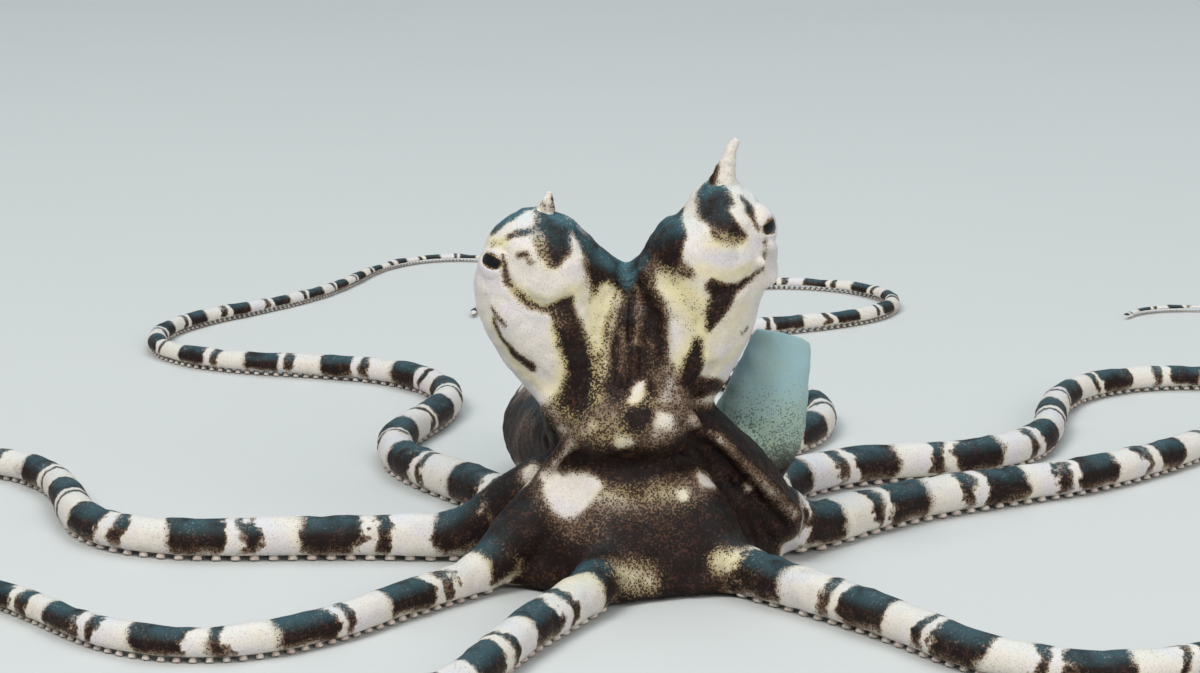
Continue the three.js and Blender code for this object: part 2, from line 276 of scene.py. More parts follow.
# Bumps of the whole skin: name, width and height.
BUMPS = [("lumps", 3.2, 0.5), ("creases", 1.1, 0.22)]

# ---------------------------------------------------------------- folds and markings

# A stroke is laid on the skin where it is seen from the front: how far right of the middle of the
# camera's view, how far above it, and its radius there. Folds also say how far out they stand.
FOLDS = {
    "brow plate": (0.9, [(-3.0, -8.2, 2.0), (0.8, -8.6, 2.6), (5.0, -8.4, 2.4), (7.8, -8.0, 1.6)]),
    "crease under the plate": (
        -1.7, [(-5.4, -12.0, 0.9), (-1.0, -13.2, 1.3), (4.0, -13.2, 1.4), (9.0, -12.2, 1.0)],
    ),
    "over the left ridge": (-0.6, [(-1.8, -8.8, 0.4), (-4.4, -11.0, 0.5), (-6.6, -13.4, 0.4)]),
    "under the left ridge": (-0.5, [(-1.6, -11.2, 0.4), (-3.6, -13.2, 0.5), (-5.6, -15.2, 0.4)]),
    "right ridge": (
        0.8, [(9.0, -8.4, 0.6), (12.0, -10.4, 0.7), (16.0, -14.4, 0.8), (19.5, -17.9, 0.8)],
    ),
    "under the right ridge": (
        -0.9, [(9.4, -10.2, 0.6), (12.4, -12.4, 0.8), (15.2, -15.6, 0.8), (18.4, -19.0, 0.7)],
    ),
    "second fold on the right": (-0.5, [(10.0, -12.6, 0.5), (13.0, -15.4, 0.6), (14.6, -19.6, 0.6)]),
    "swelling between the folds": (0.5, [(9.2, -14.6, 0.9), (11.6, -17.2, 1.0), (12.6, -20.6, 0.9)]),
    "left temple": (0.9, [(-5.0, -6.4, 1.2), (-4.4, -8.4, 1.2), (-5.0, -10.2, 0.8)]),
    "right temple": (-0.8, [(11.0, -3.4, 0.6), (9.6, -5.6, 0.7), (9.8, -7.6, 0.6)]),
    "cheek crease, left": (
        -0.55, [(-8.8, 5.4, 0.45), (-7.9, 4.2, 0.5), (-6.6, 3.3, 0.5), (-5.2, 2.9, 0.5), (-3.0, 3.6, 0.4)],
    ),
    "lid crease, left": (-0.4, [(-9.6, 8.2, 0.3), (-9.4, 6.9, 0.35), (-9.2, 5.6, 0.35)]),
    "globe of the left eye": (0.45, [(-6.6, 6.8, 2.4), (-4.4, 6.0, 2.2)]),
    "cheek, left": (0.4, [(-9.6, 1.8, 1.6), (-7.4, -1.0, 1.7)]),
    "cheek crease, right": (-0.5, [(15.9, 6.5, 0.35), (14.0, 4.8, 0.45), (11.8, 4.2, 0.4)]),
    "lid crease, right": (-0.4, [(14.8, 12.4, 0.3), (15.9, 10.8, 0.3), (16.5, 8.0, 0.35)]),
    "globe of the right eye": (0.45, [(12.2, 9.4, 2.4), (10.0, 8.4, 2.0)]),
    "ridge under the right eye": (1.1, [(16.6, 9.2, 0.6), (17.2, 7.6, 0.7), (16.6, 5.8, 0.7)]),
    "notch between the stalks": (-0.9, [(2.6, 7.0, 0.8), (3.0, 4.4, 1.0), (3.4, 0.0, 0.8)]),
    "fold 1 between the stalks": (-0.7, [(2.5, 5.6, 0.3), (1.9, 1.0, 0.4), (1.1, -4.4, 0.3)]),
    "fold 2 between the stalks": (-0.8, [(3.3, 4.8, 0.3), (3.0, 0.0, 0.4), (2.4, -4.8, 0.3)]),
    "fold 3 between the stalks": (-0.8, [(4.6, 3.6, 0.3), (4.4, -0.6, 0.4), (4.2, -4.2, 0.3)]),
    "fold 4 between the stalks": (-0.6, [(5.5, 2.2, 0.3), (5.5, -1.6, 0.35), (5.4, -4.6, 0.3)]),
    "fold 5 between the stalks": (-0.4, [(6.6, 0.8, 0.3), (6.8, -2.0, 0.35), (6.8, -4.8, 0.3)]),
    "wart on the right ridge": (0.7, [(14.8, -14.9, 0.4), (14.8, -15.1, 0.3)]),
    "wart under the right eye": (0.9, [(16.0, 7.4, 0.35), (16.1, 7.3, 0.25)]),
}

# Markings: how dark, how soft their edge is, and the stroke. Later ones lie over earlier ones.
LEFT_STALK_MARKS = {
    "pale stalk": (0.05, 0.3, [(-8.0, 9.0, 4.6), (-6.4, 4.0, 4.8), (-7.0, -0.6, 3.6), (-6.0, -4.4, 2.0)]),
    "rim over the stripe": (
        0.97, 0.4,
        [(-10.6, 10.6, 0.5), (-9.0, 12.0, 1.0), (-7.4, 12.9, 1.0), (-6.2, 13.3, 0.5)],
    ),
    "stripe": (
        0.02, 0.4,
        [(-10.1, 9.9, 0.4), (-9.2, 10.7, 0.4), (-8.1, 11.3, 0.45), (-6.8, 11.8, 0.5), (-5.5, 12.6, 0.5)],
    ),
    "blotch": (1.0, 0.4, [(-4.7, 12.1, 1.7), (-4.4, 10.9, 2.1), (-4.3, 9.3, 1.6), (-4.6, 7.8, 0.9)]),
    "blotch's speckled side": (0.62, 0.7, [(-6.1, 9.6, 0.7), (-5.8, 8.4, 0.6), (-5.3, 7.6, 0.5)]),
    "brow bar": (0.85, 0.5, [(-9.1, 9.9, 0.45), (-8.2, 10.3, 0.45), (-7.1, 10.5, 0.4)]),
    "tick 1": (0.95, 0.4, [(-8.2, 8.1, 0.28), (-7.4, 8.2, 0.26)]),
    "tick 2": (0.8, 0.5, [(-7.1, 7.5, 0.24), (-6.6, 7.3, 0.24)]),
    "inner flank": (
        1.0, 0.3,
        [
            (-3.8, 12.6, 0.5), (-2.6, 11.0, 0.6), (-1.4, 9.4, 0.8),
            (-0.3, 7.8, 1.1), (0.0, 5.9, 1.0), (0.0, 4.9, 0.6),
        ],
    ),
    "stripe inside the blotch": (0.03, 0.4, [(-2.8, 10.1, 0.05), (-2.5, 9.3, 0.25), (-2.2, 8.3, 0.4)]),
    "corner of the eye": (1.0, 0.3, [(-9.7, 8.1, 0.24), (-9.5, 6.8, 0.3), (-9.3, 5.5, 0.3)]),
    "eye socket": (0.45, 0.6, [(-10.6, 9.2, 0.6), (-9.8, 9.4, 0.4)]),
    "cheek line": (
        0.86, 0.5,
        [
            (-8.9, 5.1, 0.3), (-8.1, 4.2, 0.5), (-7.0, 3.2, 0.5),
            (-5.8, 2.7, 0.4), (-4.6, 2.9, 0.34), (-2.9, 3.6, 0.3),
        ],
    ),
    "cheek triangle": (
        0.99, 0.5,
        [
            (-2.9, 3.9, 0.1), (-3.6, 2.7, 1.0), (-3.3, 1.2, 1.4),
            (-2.6, -1.0, 1.4), (-1.9, -3.4, 1.5), (-2.2, -5.8, 1.7),
        ],
    ),
    "triangle's corner": (0.8, 0.6, [(-5.0, 2.7, 0.3), (-4.2, 2.2, 0.7), (-3.6, 1.4, 0.8)]),
    "yellow wedge": (0.16, 0.5, [(0.6, 4.4, 1.0), (0.0, 2.8, 1.1), (-0.3, 0.8, 0.6), (-0.1, -1.0, 0.4)]),
    "wedge's speckled side": (
        0.45, 0.8,
        [(1.8, 4.0, 0.6), (1.5, 2.0, 0.5), (0.8, -0.6, 0.4), (0.4, -3.8, 0.6)],
    ),
    "jaw line": (
        0.97, 0.35,
        [(-10.6, 1.6, 0.22), (-9.9, -0.1, 0.42), (-8.6, -1.8, 0.56), (-6.9, -3.0, 0.56)],
    ),
    "jaw tick": (0.85, 0.4, [(-10.8, 2.8, 0.14), (-9.6, 1.2, 0.2)]),
}
RIGHT_STALK_MARKS = {
    "pale stalk": (0.05, 0.3, [(12.4, 12.0, 4.6), (11.8, 7.6, 4.6), (11.6, 2.6, 3.8), (9.4, -0.6, 2.4)]),
    "inner flank": (
        1.0, 0.25,
        [
            (11.3, 17.0, 0.5), (9.9, 15.2, 0.8), (8.2, 13.2, 1.2),
            (6.6, 10.8, 1.8), (5.6, 8.8, 2.0), (5.8, 7.4, 1.4),
        ],
    ),
    "flank's speckled foot": (0.75, 0.7, [(5.2, 6.8, 1.2), (7.6, 6.8, 1.2), (8.9, 6.4, 0.8)]),
    "wide part of the flank": (
        1.0, 0.3,
        [(8.8, 14.6, 0.8), (7.8, 12.6, 1.3), (7.4, 10.2, 1.5), (7.2, 8.4, 1.3)],
    ),
    "streak": (0.03, 0.4, [(9.7, 15.0, 0.2), (8.9, 13.4, 0.3), (8.6, 11.8, 0.35), (9.2, 10.8, 0.5)]),
    "patch beside the streak": (
        0.02, 0.4,
        [(10.0, 10.6, 0.9), (10.4, 8.9, 1.5), (10.9, 7.8, 1.6), (13.6, 7.2, 1.6)],
    ),
    "blotch": (
        1.0, 0.4,
        [(11.2, 14.8, 1.7), (11.5, 13.0, 1.9), (12.4, 11.4, 1.4), (13.6, 10.3, 0.8), (14.3, 10.0, 0.4)],
    ),
    "blotch's speckled foot": (0.6, 0.8, [(11.6, 10.2, 0.7), (12.6, 9.7, 0.7), (13.8, 9.7, 0.5)]),
    "stripe from the horn": (0.02, 0.4, [(11.8, 15.9, 0.5), (13.2, 15.0, 0.5), (15.1, 13.8, 0.5)]),
    "teal patch": (0.96, 0.35, [(14.2, 13.9, 0.3), (14.9, 12.9, 0.5), (15.2, 12.4, 0.3)]),
    "pale gap": (0.03, 0.4, [(13.4, 12.6, 0.45), (14.4, 11.5, 0.5), (15.4, 10.8, 0.4)]),
    "lid line": (0.95, 0.35, [(14.8, 12.5, 0.14), (15.3, 11.7, 0.16), (15.8, 10.8, 0.16)]),
    "corner of the eye": (0.8, 0.5, [(16.5, 9.6, 0.2), (16.4, 8.0, 0.25), (16.3, 6.8, 0.3)]),
    "cheek triangle": (
        1.0, 0.5,
        [(11.3, 5.1, 0.7), (12.2, 4.4, 1.1), (12.0, 3.2, 1.1), (11.3, 2.0, 0.9), (10.9, 0.9, 0.5)],
    ),
    "triangle's point": (0.98, 0.4, [(12.6, 4.4, 0.9), (14.2, 5.4, 0.4), (15.7, 6.4, 0.2)]),
    "dotted patch": (0.36, 0.7, [(6.4, 5.4, 1.2), (8.2, 3.6, 1.6), (9.2, 1.4, 1.2), (9.6, -0.6, 0.6)]),
    "middle of the dotted patch": (0.08, 0.7, [(6.3, 5.2, 0.6), (7.4, 4.0, 0.6), (8.4, 2.2, 0.5)]),
    "pale jaw": (0.08, 0.4, [(14.2, 2.6, 1.0), (12.6, 0.4, 1.4), (11.6, -1.6, 1.3)]),
    "jaw patch": (1.0, 0.5, [(9.8, -0.6, 0.5), (9.4, -2.4, 1.0), (9.2, -4.4, 1.2)]),
    "foot of the jaw": (0.92, 0.5, [(9.6, -5.4, 1.0), (11.2, -4.9, 1.0), (13.0, -4.2, 0.9)]),
    "jaw tick": (0.9, 0.4, [(14.2, 0.3, 0.14), (14.7, 0.8, 0.14)]),
}
NECK_MARKS = {
    "wrinkled front": (
        0.93, 0.3, [(3.0, 6.0, 1.3), (3.4, 3.0, 2.6), (3.6, -1.0, 3.2), (3.0, -4.0, 3.4)],
    ),
    "pale fold": (0.55, 0.8, [(3.8, 4.8, 0.3), (3.9, 2.2, 0.35), (3.6, -0.6, 0.3)]),
    "pale fold beside it": (0.62, 0.8, [(2.3, 0.6, 0.3), (2.2, -3.4, 0.35)]),
    "pale fold on the right": (0.66, 0.8, [(5.0, -0.6, 0.3), (5.2, -3.8, 0.35)]),
    "left side of the neck": (0.56, 0.6, [(-5.0, -6.4, 1.3), (-3.0, -7.6, 1.8), (-3.4, -9.2, 1.2)]),
    "dark over the left ridge": (0.98, 0.5, [(-1.6, -8.5, 0.4), (-3.8, -10.4, 0.6), (-6.0, -12.8, 0.6)]),
    "brow plate": (0.66, 0.5, [(-2.2, -8.4, 2.2), (2.0, -8.9, 2.6), (6.0, -8.8, 2.6), (8.6, -7.6, 1.6)]),
    "speckled beside the jaw": (0.6, 0.7, [(6.6, -4.0, 1.4), (8.4, -6.4, 1.4)]),
    "pale blotch, left": (0.22, 0.7, [(2.0, -10.7, 0.7), (3.0, -10.6, 0.5)]),
    "pale blotch, right": (0.18, 0.7, [(5.8, -8.2, 0.7), (6.8, -8.5, 0.6)]),
    "white spot": (0.0, 0.3, [(4.2, -4.6, 0.3), (3.8, -5.6, 0.55), (3.3, -6.5, 0.5)]),
    "dark spot": (1.0, 0.7, [(3.7, -8.2, 1.3), (4.4, -8.0, 1.1)]),
    "white bit": (0.05, 0.4, [(11.6, -6.0, 0.5), (11.9, -7.0, 0.5)]),
}
WEB_MARKS = {
    "bloom on the web": (
        0.58, 0.9,
        [(0.0, -15.8, 1.4), (3.6, -16.6, 1.7), (7.4, -15.8, 1.6), (10.4, -14.8, 1.3)],
    ),
    "lower bloom": (0.90, 0.9, [(-1.6, -19.6, 1.2), (2.6, -20.4, 1.6), (7.0, -19.4, 1.4)]),
    "bloom round the white spot": (0.6, 0.9, [(-5.0, -15.0, 1.6), (-2.2, -17.6, 2.2), (-0.6, -15.4, 1.4)]),
    "mottled patch behind": (0.3, 0.6, [(-9.0, -12.4, 1.2), (-7.0, -13.6, 1.4)]),
    # Painted shadow: the dark band under the brow plate's overhanging edge, drawn full dark along its
    # crease.
    "crease": (1.0, 0.4, [(-4.6, -12.2, 0.9), (-0.6, -12.9, 1.0), (4.0, -13.1, 1.0), (9.4, -12.2, 0.9)]),
    "left ridge": (0.42, 0.6, [(-0.7, -8.9, 0.42), (-3.2, -11.4, 0.5), (-5.6, -13.9, 0.5)]),
    "right ridge": (
        0.52, 0.8,
        [(9.0, -8.3, 0.5), (12.0, -10.4, 0.6), (16.0, -14.4, 0.6), (19.5, -17.9, 0.6)],
    ),
    "big white spot": (0.0, 0.35, [(-4.2, -15.0, 1.4), (-2.8, -15.5, 2.4), (-1.6, -15.3, 1.6)]),
    "white spot 2": (0.02, 0.7, [(10.3, -14.3, 0.9), (10.9, -14.5, 0.8)]),
    "white spot 3": (0.04, 0.3, [(8.2, -15.8, 0.45), (8.3, -15.9, 0.4)]),
    "white wart": (0.0, 0.3, [(14.8, -15.0, 0.35), (14.9, -15.2, 0.3)]),
    "speckled hem": (0.42, 0.6, [(-3.4, -24.4, 1.6), (0.5, -23.6, 1.7), (4.4, -24.2, 1.6)]),
    "pale hem, right": (0.32, 0.6, [(12.2, -22.6, 1.3), (16.2, -23.0, 1.5)]),
    "pale hem, left": (0.4, 0.7, [(-10.4, -21.6, 1.2), (-8.6, -23.4, 1.2)]),
}

# Where the pale skin is yellow, and how much.
GOLD_MARKS = {
    "under the left patch": (
        0.9, 0.8,
        [(-8.4, 4.7, 0.6), (-6.4, 3.6, 0.8), (-4.2, 3.3, 0.9), (-2.6, 4.4, 1.0)],
    ),
    "wedge": (
        1.0, 0.6,
        [(0.6, 4.6, 1.9), (-0.2, 2.4, 1.6), (-0.3, -0.4, 1.1), (-0.3, -3.4, 1.0), (-0.8, -6.0, 1.1)],
    ),
    "beside the left triangle": (0.9, 0.7, [(-4.6, 1.0, 0.5), (-3.4, -3.0, 0.8), (-4.4, -5.4, 1.0)]),
    "jaw, left": (0.8, 0.8, [(-10.8, 1.6, 0.4), (-9.4, -1.2, 0.5), (-7.4, -3.8, 0.7), (-5.6, -5.2, 0.8)]),
    "round the left eye": (0.9, 0.8, [(-11.0, 9.6, 0.5), (-9.6, 9.3, 0.6)]),
    "blotch's side, left": (0.6, 0.8, [(-6.2, 9.6, 0.5), (-5.2, 7.0, 0.5)]),
    "under the right patch": (0.9, 0.8, [(10.2, 6.6, 0.7), (12.4, 5.9, 0.8), (14.8, 6.7, 0.7)]),
    "between the right marks": (
        1.0, 0.6,
        [(7.2, 5.2, 1.8), (9.2, 3.0, 1.8), (10.2, 0.6, 1.3), (8.6, -2.8, 1.2)],
    ),
    "jaw, right": (0.8, 0.8, [(10.4, -1.6, 0.6), (11.8, -3.0, 0.8), (13.6, -1.4, 0.5)]),
    "pale jaw, right": (0.5, 0.8, [(14.2, 2.8, 0.9), (12.6, 0.2, 1.3)]),
    "blotch's foot, right": (0.8, 0.8, [(11.4, 9.6, 0.8), (14.2, 9.4, 0.7)]),
    "side of the neck": (0.8, 0.7, [(-3.6, -6.6, 1.3), (-2.2, -8.2, 1.2)]),
    "plate": (0.6, 0.8, [(-0.4, -9.6, 1.3), (1.6, -10.2, 1.3), (4.6, -6.2, 1.0)]),
    "beside the white spot": (0.5, 0.8, [(0.6, -15.6, 1.0), (4.0, -15.8, 1.0), (8.0, -15.8, 0.8)]),
    "hem": (0.7, 0.8, [(-3.4, -24.4, 1.8), (0.5, -23.6, 1.8), (4.4, -24.2, 1.8)]),
    "hem, right": (0.8, 0.7, [(11.8, -22.2, 1.4), (15.2, -22.8, 1.4)]),
    "hem, left": (0.5, 0.7, [(-10.6, -21.8, 1.4), (-8.6, -23.4, 1.4)]),
}
# Seen from above: x, y and radius.
MANTLE_MARKS = {
    "shoulder spot, left": (0.03, 0.3, [(-6.4, 11.0, 1.6), (-5.2, 12.4, 1.4)]),
    "shoulder spot, right": (0.03, 0.3, [(5.8, 11.4, 1.5), (4.8, 12.8, 1.3)]),
    "left flank": (0.80, 0.8, [(-10.0, 11.0, 1.4), (-11.0, 15.0, 1.8), (-12.6, 20.0, 1.8)]),
    "right flank": (0.50, 0.8, [(9.4, 12.0, 1.6), (9.0, 18.0, 2.0), (8.0, 25.0, 1.8)]),
    "left limb of the V": (
        0.03, 0.5,
        [(-8.8, 19.4, 0.7), (-7.6, 23.0, 1.3), (-5.9, 27.0, 0.9), (-5.0, 31.5, 1.3)],
    ),
    "right limb of the V": (
        0.03, 0.5,
        [(5.0, 19.0, 0.7), (3.2, 22.8, 1.4), (1.2, 26.4, 0.8), (-1.2, 30.6, 1.3)],
    ),
    "freckled flank, left": (0.55, 0.9, [(-9.4, 24.0, 1.4), (-11.2, 30.0, 1.6)]),
    "freckled flank, right": (0.6, 0.9, [(6.0, 27.0, 1.4), (4.2, 32.4, 1.4)]),
    "speckled back": (0.66, 0.7, [(-1.4, 14.0, 2.6), (-2.2, 20.0, 2.4)]),
    "tip spot": (0.04, 0.3, [(-6.2, 40.2, 1.6), (-5.2, 41.4, 1.6)]),
    "tail spot, left": (0.1, 0.4, [(-11.0, 33.0, 1.2), (-11.0, 36.0, 1.1)]),
    "tail spot, right": (0.1, 0.4, [(2.2, 36.0, 1.2), (1.2, 39.2, 1.1)]),
    "web spot behind, left": (0.05, 0.3, [(-10.8, 6.6, 1.2), (-11.4, 8.0, 1.1)]),
    "web spot behind, right": (0.05, 0.3, [(13.4, 12.6, 1.0), (12.4, 13.8, 0.9)]),
}
# Seen from behind, from the tail's side: x, z and radius.
BACK_MARKS = {
    "left stalk, outer": (
        0.05, 0.5, [(-12.8, 33.4, 0.9), (-12.4, 30.6, 2.0), (-11.6, 27.4, 1.5), (-9.4, 22.8, 0.5)],
    ),
    "left stalk, inner": (
        0.05, 0.5,
        [(-6.6, 33.6, 0.4), (-5.4, 31.0, 1.2), (-4.2, 27.6, 0.8), (-3.8, 24.6, 0.3)],
    ),
    "right stalk, outer": (
        0.05, 0.5, [(12.8, 35.4, 0.8), (12.8, 32.0, 1.8), (11.4, 27.6, 1.6), (9.2, 22.8, 0.5)],
    ),
    "right stalk, inner": (
        0.05, 0.5,
        [(5.9, 35.4, 0.4), (4.8, 32.4, 1.1), (4.0, 28.4, 0.9), (3.4, 25.4, 0.3)],
    ),
    "nape": (0.6, 0.6, [(-2.6, 20.6, 1.8), (2.8, 20.6, 1.8)]),
    "nape spot": (0.03, 0.3, [(0.2, 21.6, 0.9), (0.1, 20.4, 0.7)]),
}

HORN_MARKS = {
    "dark side of the right horn": (0.95, 0.7, [(11.1, 15.6, 0.8), (11.6, 17.0, 0.5), (12.3, 18.4, 0.25)]),
    "foot of the left horn": (0.5, 0.9, [(-5.6, 13.0, 0.4), (-4.6, 12.9, 0.4)]),
}
# name, stations, width of its warts and how far they stand out
HORNS = [
    ("horn_left", HORN_LEFT, 0.7, 0.40),
    ("horn_right", HORN_RIGHT, 0.8, 0.28),
]
HORN_RINGS = 60
HORN_SIDES = 56
# How dark the skin is before it is marked: the horns, the stalks, the rest, and the siphon's foot.
HORN_TONE = 0.12
STALK_TONE = 0.04
BODY_TONE = 0.98
SIPHON_TONE = 0.66
CORNEA_RISE = 0.02
CORNEA_EDGE = 0.78  # cosine of its angle from the gaze

SUCKER_PROFILE = [(0.72, -0.5), (1.0, 0.34), (0.76, 0.62), (0.46, 0.34)]
SUCKER_SIDES = 8
SUCKER_FLOOR = 0.12
SUCKER_START = 9.0
SUCKER_END = 3.0
SUCKER_PITCH = 1.75
SUCKER_WIDEST = 3.2  # suckers grow with the arm's radius up to this one
SUCKER_SUNK = 0.9  # their middles lie at this share of the arm's radius
SUCKER_DROOP = 0.8  # how strongly they turn to face the floor
SUCKER_CLEAR = 0.1
SUCKER_LOWEST = 0.02
ACROSS_ANY = np.array([0.3, 0.2, 0.93])  # a way that no sucker opens along

LIGHTS_AIM = (0.0, 0.0, 0.02)
WORLD_TINT = (0.90, 0.95, 1.0, 1.0)
# name, place, size, power and tint, in metres and watts
LIGHTS = [
    ("key", (-0.45, -0.54, 0.93), 0.52, 9.2, (1.0, 0.98, 0.95)),
    ("sky", (0.15, 0.38, 1.2), 0.9, 7.6, (0.84, 0.94, 1.0)),
    ("fill", (0.62, -0.9, 0.60), 0.7, 6.0, (1.0, 0.97, 0.94)),
]

# ---------------------------------------------------------------- settings a user would change


def metres(name, description, default):
    """A length setting, shown in the scene's units."""
    return bpy.props.FloatProperty(
        name=name, description=description, default=default * MM, unit="LENGTH", precision=5
    )


def colour(name, description, default):
    """A colour setting."""
    return bpy.props.FloatVectorProperty(
        name=name, description=description, default=default, subtype="COLOR", size=3, min=0, max=1
    )


class SkinSettings(bpy.types.PropertyGroup):
    """Sizes and colours of the octopus's skin."""

    voxel: metres("Voxel", "Grain of the body's mesh before its front is refined", 0.45)
    dot: metres("Colour cell", "Width of one colour cell of the skin", 0.21)
    pale: colour("Pale", "Skin where its colour cells are closed", (0.68, 0.63, 0.56))
    lilac: colour("Lilac", "Cool tint of the palest skin", (0.60, 0.57, 0.66))
    ochre: colour("Ochre", "Yellow skin along the edges of the pale patches", (0.66, 0.58, 0.27))
    umber: colour("Umber", "Ground between the colour cells of dark skin", (0.15, 0.095, 0.060))
    dark: colour("Dark", "Skin where its colour cells are open", (0.012, 0.007, 0.006))
    russet: colour("Russet", "Red-brown flecks in the dark skin", (0.075, 0.032, 0.020))
    freckle: colour("Freckle", "Faint grey dots in the pale skin", (0.36, 0.34, 0.42))
    # Teal and mist are painted light: the cool light from above, painted as a highlight on dark and pale
    # skin that faces up.
    teal: colour("Teal", "Sheen of dark skin that faces up", (0.045, 0.125, 0.150))
    mist: colour("Mist", "Sheen of pale skin that faces up", (0.42, 0.55, 0.60))
    funnel: colour("Funnel", "Skin of the siphon", (0.34, 0.52, 0.57))


class EyeSettings(bpy.types.PropertyGroup):
    """Sizes and colours of the eyes."""

    pupil_length: metres("Pupil length", "Half the length of the pupil's bar", 1.08)
    pupil_height: metres("Pupil height", "Half the height of the pupil's bar", 0.50)
    gold: colour("Gold", "Bright speckles of the iris", (0.50, 0.35, 0.12))
    umber: colour("Umber", "Dark ground of the iris", (0.055, 0.028, 0.014))


class SuckerSettings(bpy.types.PropertyGroup):
    """Sizes of the suckers under the arms."""

    share: bpy.props.FloatProperty(
        name="Sucker size", description="Sucker radius as a share of the arm's", default=0.24
    )
    spread: bpy.props.FloatProperty(
        name="Row angle", description="How far each row lies off the arm's underside",
        default=math.radians(29), subtype="ANGLE",
    )


class StageSettings(bpy.types.PropertyGroup):
    """The floor and the lights."""

    floor_size: bpy.props.FloatProperty(
        name="Floor", description="Width of the floor", default=6.0, unit="LENGTH"
    )
    floor_tone: colour("Floor colour", "Plain pale floor", (0.55, 0.57, 0.56))
    world_light: bpy.props.FloatProperty(
        name="Ambient light", description="Strength of the light from all sides", default=0.30
    )


# ---------------------------------------------------------------- numbers along lines


def smooth(low, high, value):
    """0 below low, 1 above high, and an easy passage between them."""
    share = np.clip((value - low) / (high - low), 0.0, 1.0)
    return share * share * (3.0 - 2.0 * share)


def unit(vectors):
    """The same directions with length one."""
    return vectors / np.maximum(np.linalg.norm(vectors, axis=-1, keepdims=True), 1e-9)


def smooth_rows(stations, count):
    """Rows on a smooth line that passes through the stations."""
    rows = np.array(stations, float)
    ends = np.vstack([2 * rows[0] - rows[1], rows, 2 * rows[-1] - rows[-2]])
    found = []
    for place in np.linspace(0, len(rows) - 1, count):
        first = min(int(place), len(rows) - 2)
        t = place - first
        a, b, c, d = ends[first:first + 4]
        found.append(
            b + 0.5 * t * (c - a + t * (2 * a - 5 * b + 4 * c - d + t * (3 * (b - c) + d - a)))
        )
    return np.array(found)


def rings_along(centres, across, deep, up):
    """A limb's rings: each one's centre, its half width and its half depth as vectors."""
    tangents = unit(np.gradient(centres, axis=0))
    lifts = unit(up - tangents * (tangents @ up)[:, None])
    sides = np.cross(tangents, lifts)
    return np.stack([centres, sides * across[:, None], lifts * deep[:, None]], axis=1)


def limb_rings(stations, count, up):
    """The rings of a limb through its stations."""
    rows = smooth_rows(stations, count)
    return rings_along(rows[:, :3], rows[:, 3], rows[:, 4], up)


class Arm:
    """One arm: its course on the floor, its thickness and the bands along it."""

    def __init__(self, row):
        for field, value in zip(ARM_FIELDS, row):
            setattr(self, field, value)
        steps = round(self.length / ARM_STRIDE)
        self.along = np.linspace(0, self.length, steps + 1)
        stride = self.length / steps
        headings = np.radians(self.heading_at(self.along[:-1] + stride / 2))
        root = math.radians(self.root)
        start = np.array(CROWN_CENTRE) + ARM_ROOT_RADIUS * np.array([math.cos(root), math.sin(root)])
        moves = stride * np.stack([np.cos(headings), np.sin(headings)], axis=1)
        flat = np.vstack([start, start + np.cumsum(moves, axis=0)])
        lift = ARM_RISE * self.rise * self.root_share(self.along)
        self.line = np.column_stack([flat, self.radius(self.along) * ARM_FLATNESS + lift])
        period = BAND_AT_ROOT + (BAND_AT_TIP - BAND_AT_ROOT) * self.along / self.length
        bands = np.concatenate([[0], np.cumsum(stride / period[1:])])
        self.bands = bands - np.interp(self.first_dark, self.along, bands) + FIRST_BAND

    def heading_at(self, along):
        """The way the arm runs, in degrees, at each length along it."""
        share = along / self.length
        half = ARM_TURN_LENGTH / 2
        settle = (self.heading - self.root) * smooth(0, ARM_STRAIGHTEN, along)
        turn = self.turn * smooth(self.turn_at - half, self.turn_at + half, along)
        wave = np.sin(2 * math.pi * self.waves * share + math.radians(self.phase))
        late = np.maximum(0, (share - ARM_CURL_START) / (1 - ARM_CURL_START))
        curl = self.curl * late ** ARM_CURL_TIGHTENING
        return self.root + settle + turn + self.sway * wave * smooth(*ARM_SWAY, along) + curl

    def root_share(self, along):
        """1 at the arm's root, 0 where it has settled."""
        return 1 - smooth(0, ARM_ROOT_LENGTH, along)

    def radius(self, along):
        """Half the arm's thickness at each length along it."""
        share = np.minimum(along / self.length, 1)
        tip = ARM_TIP_THICKNESS / 2
        base = ARM_BASE_THICKNESS * self.girth / 2
        swelling = ARM_SWELLING * self.rise * self.root_share(along)
        return tip + (base - tip) * (1 - share) ** ARM_TAPER + swelling

    def rings(self, start, end, spacing):
        """The arm's rings between two lengths along it."""
        along = np.linspace(start, end, round((end - start) / spacing) + 1)
        centres = np.column_stack([np.interp(along, self.along, self.line[:, i]) for i in range(3)])
        blend = np.array([0.25, 0.5, 0.25])
        for i in range(3):
            centres[1:-1, i] = np.convolve(centres[:, i], blend, mode="valid")
        radius = self.radius(along)
        return along, rings_along(centres, radius, radius, UP)


ARMS = [Arm(row) for row in ARM_ROWS]


# ---------------------------------------------------------------- mesh tools


def only(*objects):
    """Selects these objects alone, with the first one active."""
    bpy.ops.object.select_all(action="DESELECT")
    for item in objects:
        item.select_set(True)
    bpy.context.view_layer.objects.active = objects[0]


def numbers_of(items, field, kind, width=1):
    """One field of every item in turn, with this many numbers for each."""
    found = np.empty(len(items) * width, kind)
    items.foreach_get(field, found)
    return found


def add_object(name, data):
    """Puts new data in the scene as an object."""
    item = bpy.data.objects.new(name, data)
    bpy.context.scene.collection.objects.link(item)
    return item


def vertices_of(mesh, field="co"):
    """The vertices' places in millimetres, or their normals."""
    found = numbers_of(mesh.vertices, field, np.float32, 3).reshape(-1, 3).astype(float)
    return found / MM if field == "co" else found


def set_vertices(mesh, points):
    """Moves the vertices to these places, in millimetres."""
    mesh.vertices.foreach_set("co", (points * MM).astype(np.float32).ravel())
    mesh.update()


def set_attribute(mesh, name, values):
    """Stores a number at each vertex."""
    layer = mesh.attributes.get(name) or mesh.attributes.new(name, "FLOAT", "POINT")
    layer.data.foreach_set("value", np.asarray(values, np.float32))


